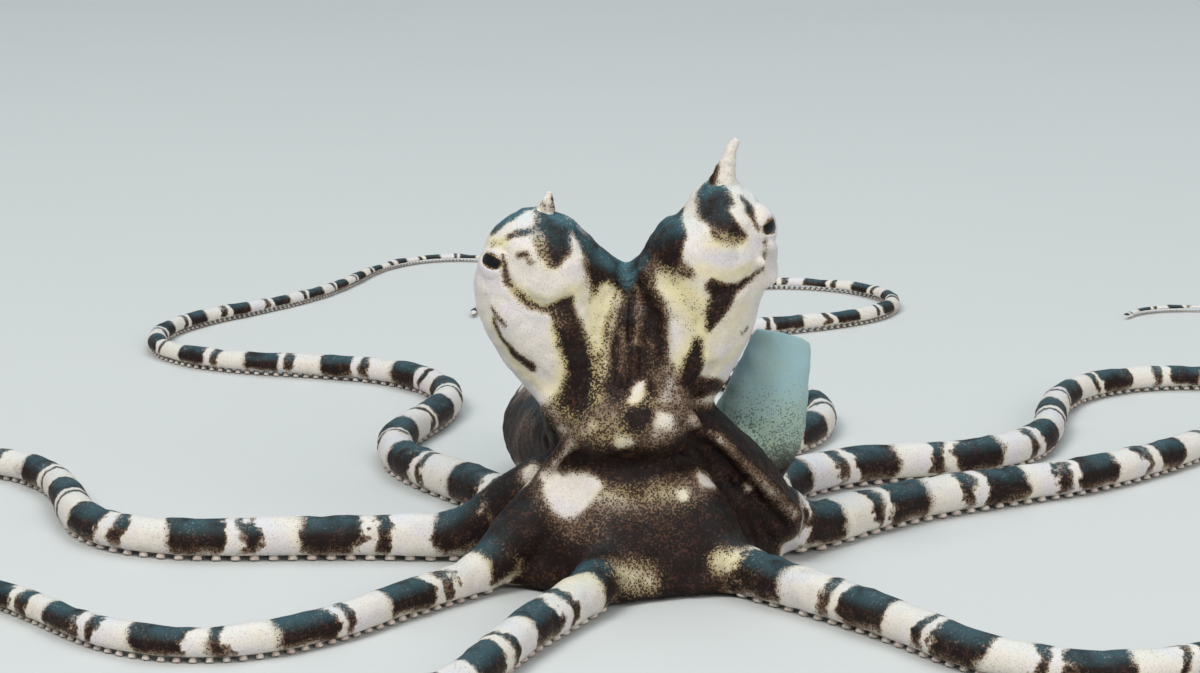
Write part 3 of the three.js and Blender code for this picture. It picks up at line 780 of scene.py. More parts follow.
def get_attribute(mesh, name):
    """The numbers stored at the vertices."""
    return numbers_of(mesh.attributes[name].data, "value", np.float32).astype(float)


def apply_modifier(item, kind, **settings):
    """Adds a modifier, sets it and applies it."""
    only(item)
    modifier = item.modifiers.new(kind.title(), kind)
    for key, value in settings.items():
        setattr(modifier, key, value)
    bpy.ops.object.modifier_apply(modifier=modifier.name)


def roughen(item, name, width, amount):
    """Raises and sinks a surface a little at random, in bumps of about this width."""
    bumps = bpy.data.textures.new(name, "CLOUDS")
    bumps.noise_scale = width * MM
    bumps.noise_depth = 1
    apply_modifier(
        item, "DISPLACE", texture=bumps, texture_coords="LOCAL", strength=amount * MM, mid_level=0.5
    )


def add_limb(name, rings, sides, strip=0):
    """Shapes a sphere into a limb: each of its latitudes becomes one ring.

    Each vertex keeps how far round and how far along it lies, and the number of its strip on the
    skin's map, which is 0 for what has none.
    """
    bpy.ops.object.select_all(action="DESELECT")
    count = len(rings)
    bpy.ops.mesh.primitive_uv_sphere_add(segments=sides, ring_count=count + 1, radius=1)
    limb = bpy.context.object
    limb.name = name
    ball = vertices_of(limb.data) * MM
    latitude = np.arccos(np.clip(ball[:, 2], -1, 1)) / math.pi * (count + 1)
    ring = rings[np.clip(np.rint(latitude).astype(int) - 1, 0, count - 1)]
    flat = np.hypot(ball[:, 0], ball[:, 1])
    wide = (flat > 1e-4) / np.maximum(flat, 1e-4)
    place = (
        ring[:, 0]
        + ring[:, 1] * (ball[:, 0] * wide)[:, None]
        + ring[:, 2] * (ball[:, 1] * wide)[:, None]
    )
    set_vertices(limb.data, place)
    turn = (np.degrees(np.arctan2(ball[:, 1], ball[:, 0])) + 90.001) % 360 / 360
    set_attribute(limb.data, "turn", np.where(wide > 0, turn, POLE))
    set_attribute(limb.data, "strip", np.full(len(ball), strip))
    set_attribute(limb.data, "reach", np.clip((latitude - 1) / (count - 1), 0, 1))
    face_outwards(limb)
    return limb


def edit_all(item):
    """Opens an object for editing with all of it selected."""
    only(item)
    bpy.ops.object.mode_set(mode="EDIT")
    bpy.ops.mesh.select_all(action="SELECT")


def face_outwards(item):
    """Turns all of an object's faces to point outwards."""
    edit_all(item)
    bpy.ops.mesh.normals_make_consistent(inside=False)
    bpy.ops.object.mode_set(mode="OBJECT")


def edit_faces(item, chosen):
    """Opens an object for editing with only the chosen faces selected."""
    only(item)
    bpy.ops.object.mode_set(mode="EDIT")
    bpy.ops.mesh.select_mode(type="FACE")
    bpy.ops.mesh.select_all(action="DESELECT")
    bpy.ops.object.mode_set(mode="OBJECT")
    item.data.polygons.foreach_set("select", np.asarray(chosen, bool))
    bpy.ops.object.mode_set(mode="EDIT")


def face_centres(mesh):
    """The middle of each face, in millimetres."""
    return numbers_of(mesh.polygons, "center", np.float32, 3).reshape(-1, 3).astype(float) / MM


def along_arms(points):
    """For each point, the number of the nearest arm, how far along it lies, and how far off."""
    lines = np.vstack([arm.line for arm in ARMS])
    along = np.concatenate([arm.along for arm in ARMS])
    owner = np.concatenate([np.full(len(arm.line), i) for i, arm in enumerate(ARMS)])
    tree = KDTree(len(lines))
    for i, spot in enumerate(lines):
        tree.insert(spot, i)
    tree.balance()
    near = np.array([tree.find(point)[1] for point in points])
    found = along[near]
    off = np.linalg.norm(points - lines[near], axis=1)
    for step in (-1, 1):
        other = np.clip(near + step, 0, len(lines) - 1)
        valid = owner[other] == owner[near]
        edge = lines[other] - lines[near]
        share = np.einsum("ij,ij->i", points - lines[near], edge)
        share = share / np.maximum(np.einsum("ij,ij->i", edge, edge), 1e-9)
        inside = valid & (share > 0)
        found = np.where(inside, found + (along[other] - found) * np.clip(share, 0, 1), found)
    return owner[near], found, off


# ---------------------------------------------------------------- strokes on the skin


class Surface:
    """A mesh that strokes are laid on, seen from the front, from above or from behind."""

    def __init__(self, mesh):
        self.points = vertices_of(mesh)
        faces = [polygon.vertices[:] for polygon in mesh.polygons]
        self.tree = BVHTree.FromPolygons([Vector(point) for point in self.points], faces)

    def hit(self, side, a, b):
        """Where a spot of a stroke lies on the surface."""
        if side == "front":
            start = VIEW_POINT
            way = VIEW_FORWARD * VIEW_DISTANCE + VIEW_RIGHT * a + VIEW_UP * b
        elif side == "top":
            start, way = np.array([a, b, ABOVE_ALL]), -UP
        else:
            start, way = np.array([a, BEHIND_ALL, b]), FRONT
        found = self.tree.ray_cast(Vector(start), Vector(way).normalized())[0]
        if found is None:
            nearest = Vector(start + way) if side == "front" else Vector((a, b, 0))
            found = self.tree.find_nearest(nearest)[0]
        return np.array(found)

    def weight(self, side, stroke, softness, points):
        """How strongly a stroke covers each point: 1 along its middle, 0 outside it."""
        spots = np.array([self.hit(side, a, b) for a, b, _ in stroke])
        radii = np.array([radius for _, _, radius in stroke])
        best = np.zeros(len(points))
        reach = radii.max() * (1 + FADE_SHARE * softness) + LEAST_FADE
        near = np.all((points > spots.min(0) - reach) & (points < spots.max(0) + reach), axis=1)
        chosen = points[near]
        found = np.zeros(len(chosen))
        for i in range(len(spots) - 1):
            edge = spots[i + 1] - spots[i]
            share = np.clip((chosen - spots[i]) @ edge / max(edge @ edge, 1e-9), 0, 1)
            gap = np.linalg.norm(chosen - spots[i] - share[:, None] * edge, axis=1)
            radius = radii[i] + (radii[i + 1] - radii[i]) * share
            fade = np.maximum(FADE_SHARE * softness * radius, LEAST_FADE)
            found = np.maximum(found, 1 - smooth(radius - fade, radius + fade, gap))
        best[near] = found
        return best


def press_folds(item):
    """Moves the skin in and out along the folds."""
    surface = Surface(item.data)
    points = surface.points
    normals = vertices_of(item.data, "normal")
    depth = np.zeros(len(points))
    for amount, stroke in FOLDS.values():
        depth += amount * surface.weight("front", stroke, FOLD_SOFTNESS, points)
    set_vertices(item.data, points + normals * depth[:, None])


def open_eye(item, centre, azimuth, elevation, tilt):
    """Opens the skin over an eyeball: it dives under the ball inside the lids and hugs it outside."""
    points = vertices_of(item.data)
    gaze, across, above = eye_axes(azimuth, elevation, tilt)
    offset = points - np.array(centre)
    distance = np.linalg.norm(offset, axis=1)
    way = offset / np.maximum(distance, 1e-6)[:, None]
    ring = np.hypot((way @ across) / LID_WIDTH, (way @ above) / LID_HEIGHT)
    near = (way @ gaze > 0.15) & (distance < EYE_RADIUS + LID_REACH)
    inside = near & (way @ gaze > 0) & (ring < LID_EDGE[1])
    lid = EYE_RADIUS + LID_INNER + (LID_OUTER - LID_INNER) * smooth(*LID_EDGE, ring)
    cover = EYE_RADIUS + LID_OUTER
    eased = cover + np.maximum(0, distance - cover) * smooth(LID_EDGE[1], LID_BLEND, ring)
    radius = np.where(inside, lid, np.maximum(cover, np.where(near, eased, distance)))
    moved = np.array(centre) + way * radius[:, None]
    set_vertices(item.data, moved)


def eye_axes(azimuth, elevation, tilt):
    """An eye's gaze, the line of its pupil's bar, and the line across that bar."""
    turn, rise, lean = (math.radians(angle) for angle in (azimuth, elevation, tilt))
    gaze = np.array([math.sin(turn) * math.cos(rise), -math.cos(turn) * math.cos(rise), math.sin(rise)])
    across = unit(np.cross(UP, gaze))
    above = np.cross(gaze, across)
    return (
        gaze,
        across * math.cos(lean) - above * math.sin(lean),
        above * math.cos(lean) + across * math.sin(lean),
    )


# ---------------------------------------------------------------- the skin's mesh


def add_crown():
    """The web between the arms' roots: a skirt that runs out along each arm."""
    rows = smooth_rows([(*spot, 0.0) for spot in CROWN_PROFILE], CROWN_RINGS)
    rings = np.zeros((len(rows), 3, 3))
    rings[:, 0] = [(*CROWN_CENTRE, height) for _, height, _ in rows]
    rings[:, 1, 0] = rows[:, 0]
    rings[:, 2, 1] = rows[:, 0]
    crown = add_limb("crown", rings, CROWN_SIDES)
    points = vertices_of(crown.data)
    flat = points[:, :2] - np.array(CROWN_CENTRE)
    angle = np.degrees(np.arctan2(flat[:, 1], flat[:, 0]))
    reach = np.zeros(len(points))
    for arm in ARMS:
        off = (angle - arm.root + 540) % 360 - 180
        reach += np.exp(-((off / WEB_SPREAD) ** 2))
    low = np.clip(1 - points[:, 2] / CROWN_TOP, 0, 1) ** WEB_FADE
    wide = np.linalg.norm(flat, axis=1)
    push = 1 + WEB_REACH * reach * low / np.maximum(wide, 1.0)
    points[:, :2] = np.array(CROWN_CENTRE) + flat * push[:, None]
    set_vertices(crown.data, points)
    return crown


def add_body(voxel):
    """The body in one piece, with a stub where each arm and the siphon's tube will be joined."""
    shapes = [
        add_limb(name, limb_rings(stations, rings, up), sides)
        for name, stations, rings, up, sides in BODY_LIMBS
    ]
    shapes.append(add_crown())
    funnel = limb_rings(SIPHON, SIPHON_RINGS + 1, FRONT)
    shapes.append(add_limb("funnel", funnel[:SIPHON_CUT + SIPHON_STUB_RINGS], SIPHON_SIDES))
    for arm in ARMS:
        shapes.append(add_limb(arm.name, arm.rings(0, GRAFT + STUB, STUB_RING_GAP)[1], STUB_SIDES))
    only(*shapes)
    bpy.ops.object.join()
    body = bpy.context.object
    points = vertices_of(body.data)
    points[:, 2] = np.maximum(points[:, 2], 0.1)
    set_vertices(body.data, points)
    apply_modifier(body, "REMESH", mode="VOXEL", voxel_size=voxel, use_smooth_shade=True)
    apply_modifier(body, "SMOOTH", factor=0.5, iterations=9)
    return body


def cut_stub(body, chosen, spot, way):
    """Cuts off a stub's end, square to its line."""
    edit_faces(body, chosen)
    bpy.ops.mesh.bisect(
        plane_co=[float(value) * MM for value in spot],
        plane_no=[float(value) for value in way],
        clear_outer=True,
        threshold=1e-7,
    )
    bpy.ops.object.mode_set(mode="OBJECT")


def open_first_ring(tube):
    """Takes the cap off a tube's first ring."""
    edit_all(tube)
    bpy.ops.mesh.select_mode(type="VERT")
    bpy.ops.mesh.select_all(action="DESELECT")
    bpy.ops.object.mode_set(mode="OBJECT")
    cap = (get_attribute(tube.data, "turn") < 0) & (get_attribute(tube.data, "reach") < 0.5)
    tube.data.vertices.foreach_set("select", cap)
    bpy.ops.object.mode_set(mode="EDIT")
    bpy.ops.mesh.delete(type="VERT")
    bpy.ops.object.mode_set(mode="OBJECT")


def graft(body, tube):
    """Joins a tube to the body and bridges their two open ends."""
    open_first_ring(tube)
    only(body, tube)
    bpy.ops.object.join()
    bpy.ops.object.mode_set(mode="EDIT")
    bpy.ops.mesh.select_mode(type="EDGE")
    bpy.ops.mesh.select_all(action="DESELECT")
    bpy.ops.mesh.select_non_manifold(extend=False)
    bpy.ops.mesh.bridge_edge_loops()
    bpy.ops.mesh.select_all(action="DESELECT")
    bpy.ops.object.mode_set(mode="OBJECT")


def graft_arms(body):
    """Cuts each arm's stub and joins its finer tube there."""
    for number, arm in enumerate(ARMS):
        owner, along, off = along_arms(face_centres(body.data))
        chosen = (owner == number) & (along > GRAFT - 1.5) & (off < arm.radius(along) + 0.7)
        spot = [np.interp(GRAFT, arm.along, arm.line[:, i]) for i in range(3)]
        ahead = [np.interp(GRAFT + 1, arm.along, arm.line[:, i]) for i in range(3)]
        cut_stub(body, chosen, spot, np.array(ahead) - np.array(spot))
        _, rings = arm.rings(GRAFT + TUBE_START, arm.length, TUBE_RING_GAP)
        graft(body, add_limb("tube_" + arm.name, rings, TUBE_SIDES, strip=number + 1))


def siphon_tube(rows):
    """The siphon's tube: up its outside, over its lip and down its inside."""
    share = np.linspace(0, 1, SIPHON_RINGS + 1)
    outside = [(share[i], 0.0) for i in range(SIPHON_CUT + 1, SIPHON_RINGS - 1)]
    inside = [(share[i], -SIPHON_WALL) for i in range(SIPHON_RINGS - 2, SIPHON_CUT + 1, -2)]
    base = rings_along(rows[:, :3], np.ones(len(rows)), np.ones(len(rows)), FRONT)
    rings = []
    for place, grow in outside + SIPHON_LIP + inside:
        at = place * SIPHON_RINGS
        low = min(int(at), SIPHON_RINGS - 1)
        ring = base[low] + (base[low + 1] - base[low]) * (at - low)
        row = rows[low] + (rows[low + 1] - rows[low]) * (at - low)
        rings.append([ring[0], ring[1] * (row[3] + grow), ring[2] * (row[4] + grow)])
    rings = np.array(rings)
    rising = [place for place, _ in outside + SIPHON_LIP]
    lean = np.concatenate([rising, np.linspace(0.97, 0.6, len(inside))])
    rings[:, 2, 2] += LIP_LEAN * smooth(0.75, 1.0, lean)
    return rings


def graft_siphon(body):
    """Cuts the siphon's stub and joins its open tube there."""
    rows = smooth_rows(SIPHON, SIPHON_RINGS + 1)
    spot = rows[SIPHON_CUT, :3]
    way = rows[SIPHON_CUT + 1, :3] - spot
    offset = face_centres(body.data) - spot
    ahead = offset @ unit(way)
    beside = np.linalg.norm(offset - ahead[:, None] * unit(way), axis=1)
    chosen = (ahead > -0.8) & (ahead < 4.0) & (beside < rows[SIPHON_CUT, 3] + 0.6)
    cut_stub(body, chosen, spot, way)
    graft(body, add_limb("tube_siphon", siphon_tube(rows), SIPHON_TUBE_SIDES, strip=len(ARMS) + 1))


def refine_front(body):
    """Halves the mesh's grain where the head faces forward and on its sides."""
    centres = face_centres(body.data)
    wide = np.abs(centres[:, 0]) < HEAD_SIDE
    deep = (centres[:, 1] > FINE_FRONT) & (centres[:, 1] < FINE_BACK)
    edit_faces(body, wide & deep & (centres[:, 2] > FINE_FROM))
    bpy.ops.mesh.subdivide(number_cuts=1, smoothness=0)
    bpy.ops.object.mode_set(mode="OBJECT")


def rest_on_floor(body):
    """Keeps the skin off the floor: the web lies just above it, the arms on their suckers."""
    points = vertices_of(body.data)
    arm = smooth(ARM_ROOT_LENGTH - 6, ARM_ROOT_LENGTH + 2, along_arms(points)[1])
    lowest = FLOOR_GAP + SOLE * arm
    over = np.minimum(points[:, 2] - lowest, FLOOR_EASE)
    eased = lowest + FLOOR_EASE * np.exp(over / FLOOR_EASE - 1)
    points[:, 2] = np.where(over < FLOOR_EASE, eased, points[:, 2])
    set_vertices(body.data, points)


def paint(item, layers, plain):
    """A tone for each vertex: plain at first, with each layer of marks laid over it."""
    surface = Surface(item.data)
    tone = np.array(plain, float)
    for side, marks in layers:
        for value, softness, stroke in marks.values():
            tone += (value - tone) * surface.weight(side, stroke, softness, surface.points)
    return tone


def pale_stalks(points, normals):
    """How pale the stalks are before they are marked: their fronts and outer sides are."""
    height = smooth(16.5, 19.5, points[:, 2])
    outer = smooth(1.0, 3.4, np.abs(points[:, 0] - 0.2) - 0.16 * (points[:, 2] - 18))
    ahead = 1 - smooth(0.1, 0.6, normals[:, 1])
    return height * outer * ahead


def painted_sheen_of(points, up, arms):
    """How much of the painted light from above the skin takes: a cool highlight, most on the stalks' tops,
    a little on the web.
    """
    high = smooth(20, 31, points[:, 2])
    behind = smooth(3, 10, points[:, 1]) * (1 - arms)
    strength = 0.10 + 0.90 * high + 0.48 * arms * (1 - high) + 0.20 * behind * (1 - high)
    return np.clip(strength, 0, 1) * smooth(0.30, 0.95, up)


def siphon_share(mesh, points):
    """1 on the siphon, 0 away from it, with an easy passage at its foot."""
    line = smooth_rows(SIPHON, SIPHON_RINGS + 1)
    gaps = np.linalg.norm(points[:, None] - line[None, :, :3], axis=2) / line[None, :, 3]
    near = 1 - smooth(1.05, 1.3, gaps.min(1))
    share = near * smooth(8.5, 12.5, points[:, 2]) * smooth(6.5, 8.5, points[:, 0])
    return np.where(get_attribute(mesh, "strip") > len(ARMS), 1.0, share)


def paint_skin(body):
    """Stores the skin's markings, the bands' places on the arms, the siphon's extent and where light from
    above is painted on.
    """
    mesh = body.data
    points = vertices_of(mesh)
    normals = vertices_of(mesh, "normal")
    tone = paint(
        body,
        [
            ("back", BACK_MARKS), ("top", MANTLE_MARKS), ("front", NECK_MARKS), ("front", WEB_MARKS),
            ("front", LEFT_STALK_MARKS), ("front", RIGHT_STALK_MARKS),
        ],
        BODY_TONE + (STALK_TONE - BODY_TONE) * pale_stalks(points, normals),
    )
    owner, along, off = along_arms(points)
    radius = np.zeros(len(points))
    band = np.zeros(len(points))
    for number, arm in enumerate(ARMS):
        mine = owner == number
        radius[mine] = arm.radius(along[mine])
        band[mine] = np.interp(along[mine], arm.along, arm.bands)
    close = 1 - smooth(0.8, 2.6, off - radius)
    arms = smooth(6.5, 10.5, along) * close
    siphon = siphon_share(mesh, points)
    speckled = SIPHON_TONE * (1 - smooth(9.0, 24.0, points[:, 2]))
    painted = {
        "tone": tone + (speckled - tone) * siphon,
        "gold": paint(body, [("front", GOLD_MARKS)], np.zeros(len(points))),
        "band": band,
        "arm": arms,
        "below": smooth(0.15, 0.75, -normals[:, 2]),
        "siphon": siphon,
        # Painted light from above: a cool highlight on skin that faces up.
        "sheen": painted_sheen_of(points, get_attribute(mesh, "up"), arms),
    }
    for name, values in painted.items():
        set_attribute(mesh, name, values)


# ---------------------------------------------------------------- the skin's map

MAP_NAME = "OFBake"
MAP_EDGE = 0.003
MAP_GAP = 0.004
MAP_ANGLE = math.radians(64)
MAP_HEAD_FROM = 9.0  # the head's part of the map starts at this height
MAP_HEAD_BACK = 7.5
STRIP_MARGIN = 0.006  # a strip's clear ends, for the points that close an arm's tip
ARM_ROWS_TOP = 0.46
HEAD_PART = (0.0, 0.47, 0.56, 1.0)  # left, bottom, right and top of a part of the map
REST_PART = (0.565, 0.61, 1.0, 1.0)
SIPHON_PART = (0.565, 0.475, 1.0, 0.60)


def lay_map(body):
    """Lays the skin out flat: the head largest, the rest of the body, and each arm as a strip."""
    mesh = body.data
    layer = mesh.uv_layers.get(MAP_NAME) or mesh.uv_layers.new(name=MAP_NAME)
    mesh.uv_layers.active = layer
    strips = get_attribute(mesh, "strip")
    turns = get_attribute(mesh, "turn")
    reach = get_attribute(mesh, "reach")
    corners = numbers_of(mesh.loops, "vertex_index", np.int32)
    starts = numbers_of(mesh.polygons, "loop_start", np.int32)
    sizes = numbers_of(mesh.polygons, "loop_total", np.int32)
    owner = np.repeat(np.arange(len(starts)), sizes)
    lowest = np.minimum.reduceat(strips[corners], starts)
    highest = np.maximum.reduceat(strips[corners], starts)
    strip = np.where(np.isclose(lowest, highest), np.rint(lowest), 0).astype(int)
    centres = face_centres(mesh)
    head = (strip == 0) & (np.abs(centres[:, 0]) < HEAD_SIDE)
    head &= (centres[:, 2] > MAP_HEAD_FROM) & (centres[:, 1] < MAP_HEAD_BACK)
    found = np.zeros((len(mesh.loops), 2), np.float32)
    for chosen, part in ((head, HEAD_PART), ((strip == 0) & ~head, REST_PART)):
        edit_faces(body, chosen)
        bpy.ops.uv.smart_project(angle_limit=MAP_ANGLE, island_margin=MAP_GAP)
        bpy.ops.object.mode_set(mode="OBJECT")
        spread = numbers_of(mesh.uv_layers[MAP_NAME].data, "uv", np.float32, 2).reshape(-1, 2)
        mine = chosen[owner]
        low, high = spread[mine].min(0), spread[mine].max(0)
        found[mine] = place_in(part, (spread[mine] - low) / (high - low))
    turn = turns[corners]
    turn_low = np.minimum.reduceat(np.where(turn < 0, 2.0, turn), starts)[owner]
    turn_high = np.maximum.reduceat(turn, starts)[owner]
    wraps = turn_high - turn_low > 0.5
    turn = np.where(wraps & (turn >= 0) & (turn < 0.5), turn + 1, turn)
    middle = np.where(wraps, (turn_high + turn_low + 1) / 2, (turn_high + turn_low) / 2)
    turn = np.where(turn < 0, middle, turn)
    beyond = np.where(turns[corners] < 0, np.where(reach[corners] > 0.5, MAP_GAP, -MAP_GAP), 0)
    flat = np.column_stack([STRIP_MARGIN + (1 - 2 * STRIP_MARGIN) * (reach[corners] + beyond), turn])
    rows = len(ARMS)
    for number in range(1, rows + 2):
        mine = strip[owner] == number
        part = SIPHON_PART
        if number <= rows:
            step = ARM_ROWS_TOP / rows
            part = (0.0, step * (number - 1), 1.0, step * number)
        found[mine] = place_in(part, flat[mine])
    mesh.uv_layers[MAP_NAME].data.foreach_set("uv", found.ravel())


def place_in(part, flat):
    """Moves places in a unit square to a part of the map, clear of its edges."""
    left, bottom, right, top = part
    low = np.array([left, bottom]) + MAP_EDGE
    size = np.array([right - left, top - bottom]) - 2 * MAP_EDGE
    return low + flat * size


# ---------------------------------------------------------------- finishes


class Shade:
    """A socket of a finish. Arithmetic on it adds the nodes that work the sum out."""

    def __init__(self, finish, socket):
        self.finish = finish
        self.socket = socket

    def sum(self, operation, *values):
        """A Math node on these values."""
        return self.finish.node("ShaderNodeMath", {"operation": operation}, dict(enumerate(values)))

    def __add__(self, other):
        return self.sum("ADD", self, other)

    def __radd__(self, other):
        return self.sum("ADD", other, self)

    def __sub__(self, other):
        return self.sum("SUBTRACT", self, other)

    def __rsub__(self, other):
        return self.sum("SUBTRACT", other, self)

    def __mul__(self, other):
        return self.sum("MULTIPLY", self, other)

    def __rmul__(self, other):
        return self.sum("MULTIPLY", other, self)

    def __truediv__(self, other):
        return self.sum("DIVIDE", self, other)

    def __pow__(self, other):
        return self.sum("POWER", self, other)

    def wrapped(self):
        """What is left of it above the last whole number."""
        return self.sum("FRACT", self)

    def size(self):
        """Its distance from zero."""
        return self.sum("ABSOLUTE", self)

    def between(self, low, high):
        """0 below low, 1 above high, and an easy passage between them."""
        return self.finish.node(
            "ShaderNodeMapRange",
            {"interpolation_type": "SMOOTHSTEP"},
            {"Value": self, "From Min": low, "From Max": high},
        )


class Finish:
    """A material whose nodes are made one call at a time."""

    def __init__(self, name):
        self.material = bpy.data.materials.new(name)
        self.material.use_nodes = True
        self.tree = self.material.node_tree
        self.tree.nodes.clear()

    def node(self, kind, settings=None, sockets=None, output=0):
        """A node of any type: its settings first, then the values or links of its sockets."""
        made = self.tree.nodes.new(kind)
        for key, value in (settings or {}).items():
            if key == "stops":
                self.set_stops(made.color_ramp.elements, value)
            else:
                setattr(made, key, value)
        for key, value in (sockets or {}).items():
            if isinstance(value, Shade):
                self.tree.links.new(value.socket, made.inputs[key])
            else:
                made.inputs[key].default_value = value
        return Shade(self, made.outputs[output]) if made.outputs else None

    def set_stops(self, elements, stops):
        """Sets a ramp's places and grey values."""
        while len(elements) < len(stops):
            elements.new(1.0)
        for element, (place, value) in zip(elements, stops):
            element.position = place
            element.color = (value, value, value, 1.0)

    def place(self):
        """The place in the model's own frame."""
        return self.node("ShaderNodeTexCoord", output="Object")

    def attribute(self, name):
        """A number stored on the mesh."""
        return self.node("ShaderNodeAttribute", {"attribute_name": name}, output="Fac")

    def noise(self, place, width, detail=2.0, rough=0.5):
        """Soft noise whose features are about this wide, in millimetres."""
        return self.node(
            "ShaderNodeTexNoise", {},
            {"Vector": place, "Scale": 1 / (width * MM), "Detail": detail, "Roughness": rough},
        )

    def mix(self, share, first, second):
        """A mix of two colours."""
        first, second = (
            value if isinstance(value, Shade) else (*value, 1.0) for value in (first, second)
        )
        return self.node(
            "ShaderNodeMix",
            {"data_type": "RGBA"},
            {0: share, 6: first, 7: second},
            output=2,
        )

    def bump(self, height, strength, distance, under=None):
        """Bumps in the surface, on top of others where they are given."""
        sockets = {"Height": height, "Strength": strength, "Distance": distance * MM}
        if under is not None:
            sockets["Normal"] = under
        return self.node("ShaderNodeBump", {}, sockets)

    def close(self, **sockets):
        """Ends the tree with its surface shader."""
        named = {key.replace("_", " "): value for key, value in sockets.items()}
        surface = self.node("ShaderNodeBsdfPrincipled", {}, named)
        self.node("ShaderNodeOutputMaterial", {}, {"Surface": surface})
        return self.material


SCATTER = {
    "Subsurface_Weight": 0.05,
    "Subsurface_Radius": (0.6, 0.35, 0.25),
    "Subsurface_Scale": 0.8 * MM,
}
FUNNEL_SHADE = (0.36, 0.52, 0.50)
FUNNEL_FOOT = (0.35, 0.42, 0.30)
FUNNEL_FOOT_HEIGHT = (11 * MM, 20 * MM)
FUNNEL_DOT = (0.06, 0.09, 0.08)
PUPIL_SQUARENESS = 5.0
PUPIL_BLACK = (0.002, 0.002, 0.003)
IRIS_EDGE = (0.012, 0.008, 0.006)
STREAK_STRETCH = (9.0, 1.6, 1.0)
STREAK_WIDTH = 1 / 0.9  # width of the iris's streaks before they are stretched
SUCKER_PALE = (0.70, 0.64, 0.58)
SUCKER_PINK = (0.60, 0.50, 0.44)
SUCKER_DARK = (0.30, 0.20, 0.15)

BAND_STOPS = [
    (0.00, 0.85), (0.03, 1.0), (0.37, 1.0), (0.42, 0.35), (0.48, 0.10), (0.73, 0.06), (0.79, 0.85),
    (0.84, 0.85), (0.90, 0.08), (0.95, 0.10), (1.0, 0.85),
]


def skin_finish(looks):
    """Chocolate and cream skin made of colour cells, with painted light from above: a teal highlight where
    it faces up.
    """
    f = Finish("octopus_skin")
    place = f.place()

    # How dark the skin is.
    tone = f.attribute("tone")
    arm = f.attribute("arm")
    below = f.attribute("below")
    siphon = f.attribute("siphon")
    broad = f.noise(place, 3.4, 3.0) - 0.5
    fine = f.noise(place, 0.9, 3.0) - 0.5
    bands = (f.attribute("band") + 0.32 * broad + 0.10 * fine).wrapped()
    banded = f.node("ShaderNodeValToRGB", {"stops": BAND_STOPS}, {"Fac": bands})
    banded = banded * (1 - 0.6 * below)
    dark = tone + (banded - tone) * arm + 0.45 * arm * broad
    rim = 4 * dark * (1 - dark)
    dark = dark + rim * (0.70 * broad + 0.40 * fine)

    # Which of its colour cells are open.
    spread = {"Vector": place, "Scale": 1 / looks.dot}
    cells = f.node("ShaderNodeTexVoronoi", {}, spread)
    random_cell = f.node("ShaderNodeTexVoronoi", {}, spread, output=1)
    chance = f.node("ShaderNodeSeparateColor", {}, {0: random_cell}) - 0.5
    open_cells = (dark * 0.92 + chance * 0.30 - 0.08 - cells).between(-0.08, 0.08)

    # The ground between open cells, from pale through yellow to brown.
    cool = f.noise(place, 5.0, 2.0).between(0.42, 0.66)
    pale = f.mix(0.5 * cool, looks.pale, looks.lilac)
    pale = f.mix(0.42 * (1 - cells.between(0.15, 0.50)), pale, looks.freckle)
    yellow = 0.65 * f.attribute("gold") * f.noise(place, 1.8, 2.0).between(0.15, 0.45)
    pale = f.mix(yellow, pale, looks.ochre)
    pale = f.mix(dark.between(0.04, 0.34) * 0.18, pale, looks.ochre)
    ground = f.mix(0.6 * yellow, looks.umber, looks.ochre)
    pale = f.mix(dark.between(0.16, 0.72), pale, ground)
    pale = f.mix(0.85 * dark.between(0.75, 1.0), pale, looks.dark)

    # The open cells, and the painted light from above, a cool highlight, over both.
    grain = f.noise(place, 0.35, 2.0)
    flecks = chance.between(0.05, 0.40) * f.noise(place, 1.6, 2.0).between(0.40, 0.64)
    deep = f.mix(0.7 * flecks, looks.dark, looks.russet)
    deep = f.mix(0.34 * (1 - dark.between(0.55, 0.95)), deep, looks.umber)
    sheen = f.attribute("sheen") * f.noise(place, 2.4, 3.0).between(0.20, 0.60)
    deep = f.mix(0.9 * sheen, deep, looks.teal)
    pale = f.mix(0.45 * sheen, pale, looks.mist)
    colour = f.mix(open_cells, pale, deep)

    # The siphon, yellower at its foot.
    low = 1 - f.node("ShaderNodeSeparateXYZ", {}, {0: place}, output=2).between(*FUNNEL_FOOT_HEIGHT)
    veil = f.mix(f.noise(place, 2.2, 3.0).between(0.3, 0.7), looks.funnel, FUNNEL_SHADE)
    veil = f.mix(0.75 * low, veil, FUNNEL_FOOT)
    funnel = f.mix(open_cells * 0.75, veil, FUNNEL_DOT)
    colour = f.mix(siphon, colour, funnel)

    # Fine wrinkles, with a pit at each cell.
    wrinkles = f.noise(place, 1.3, 4.0, 0.6)
    pits = cells.between(0.0, 0.6)
    normal = f.bump(wrinkles, 0.40, 0.30)
    normal = f.bump(pits, 0.20, 0.04, normal)
    shine = 0.40 + 0.16 * grain + 0.08 * open_cells
    return f.close(
        Base_Color=colour,
        Roughness=shine,
        Normal=normal,
        Specular_IOR_Level=0.12,
        **SCATTER,
    )


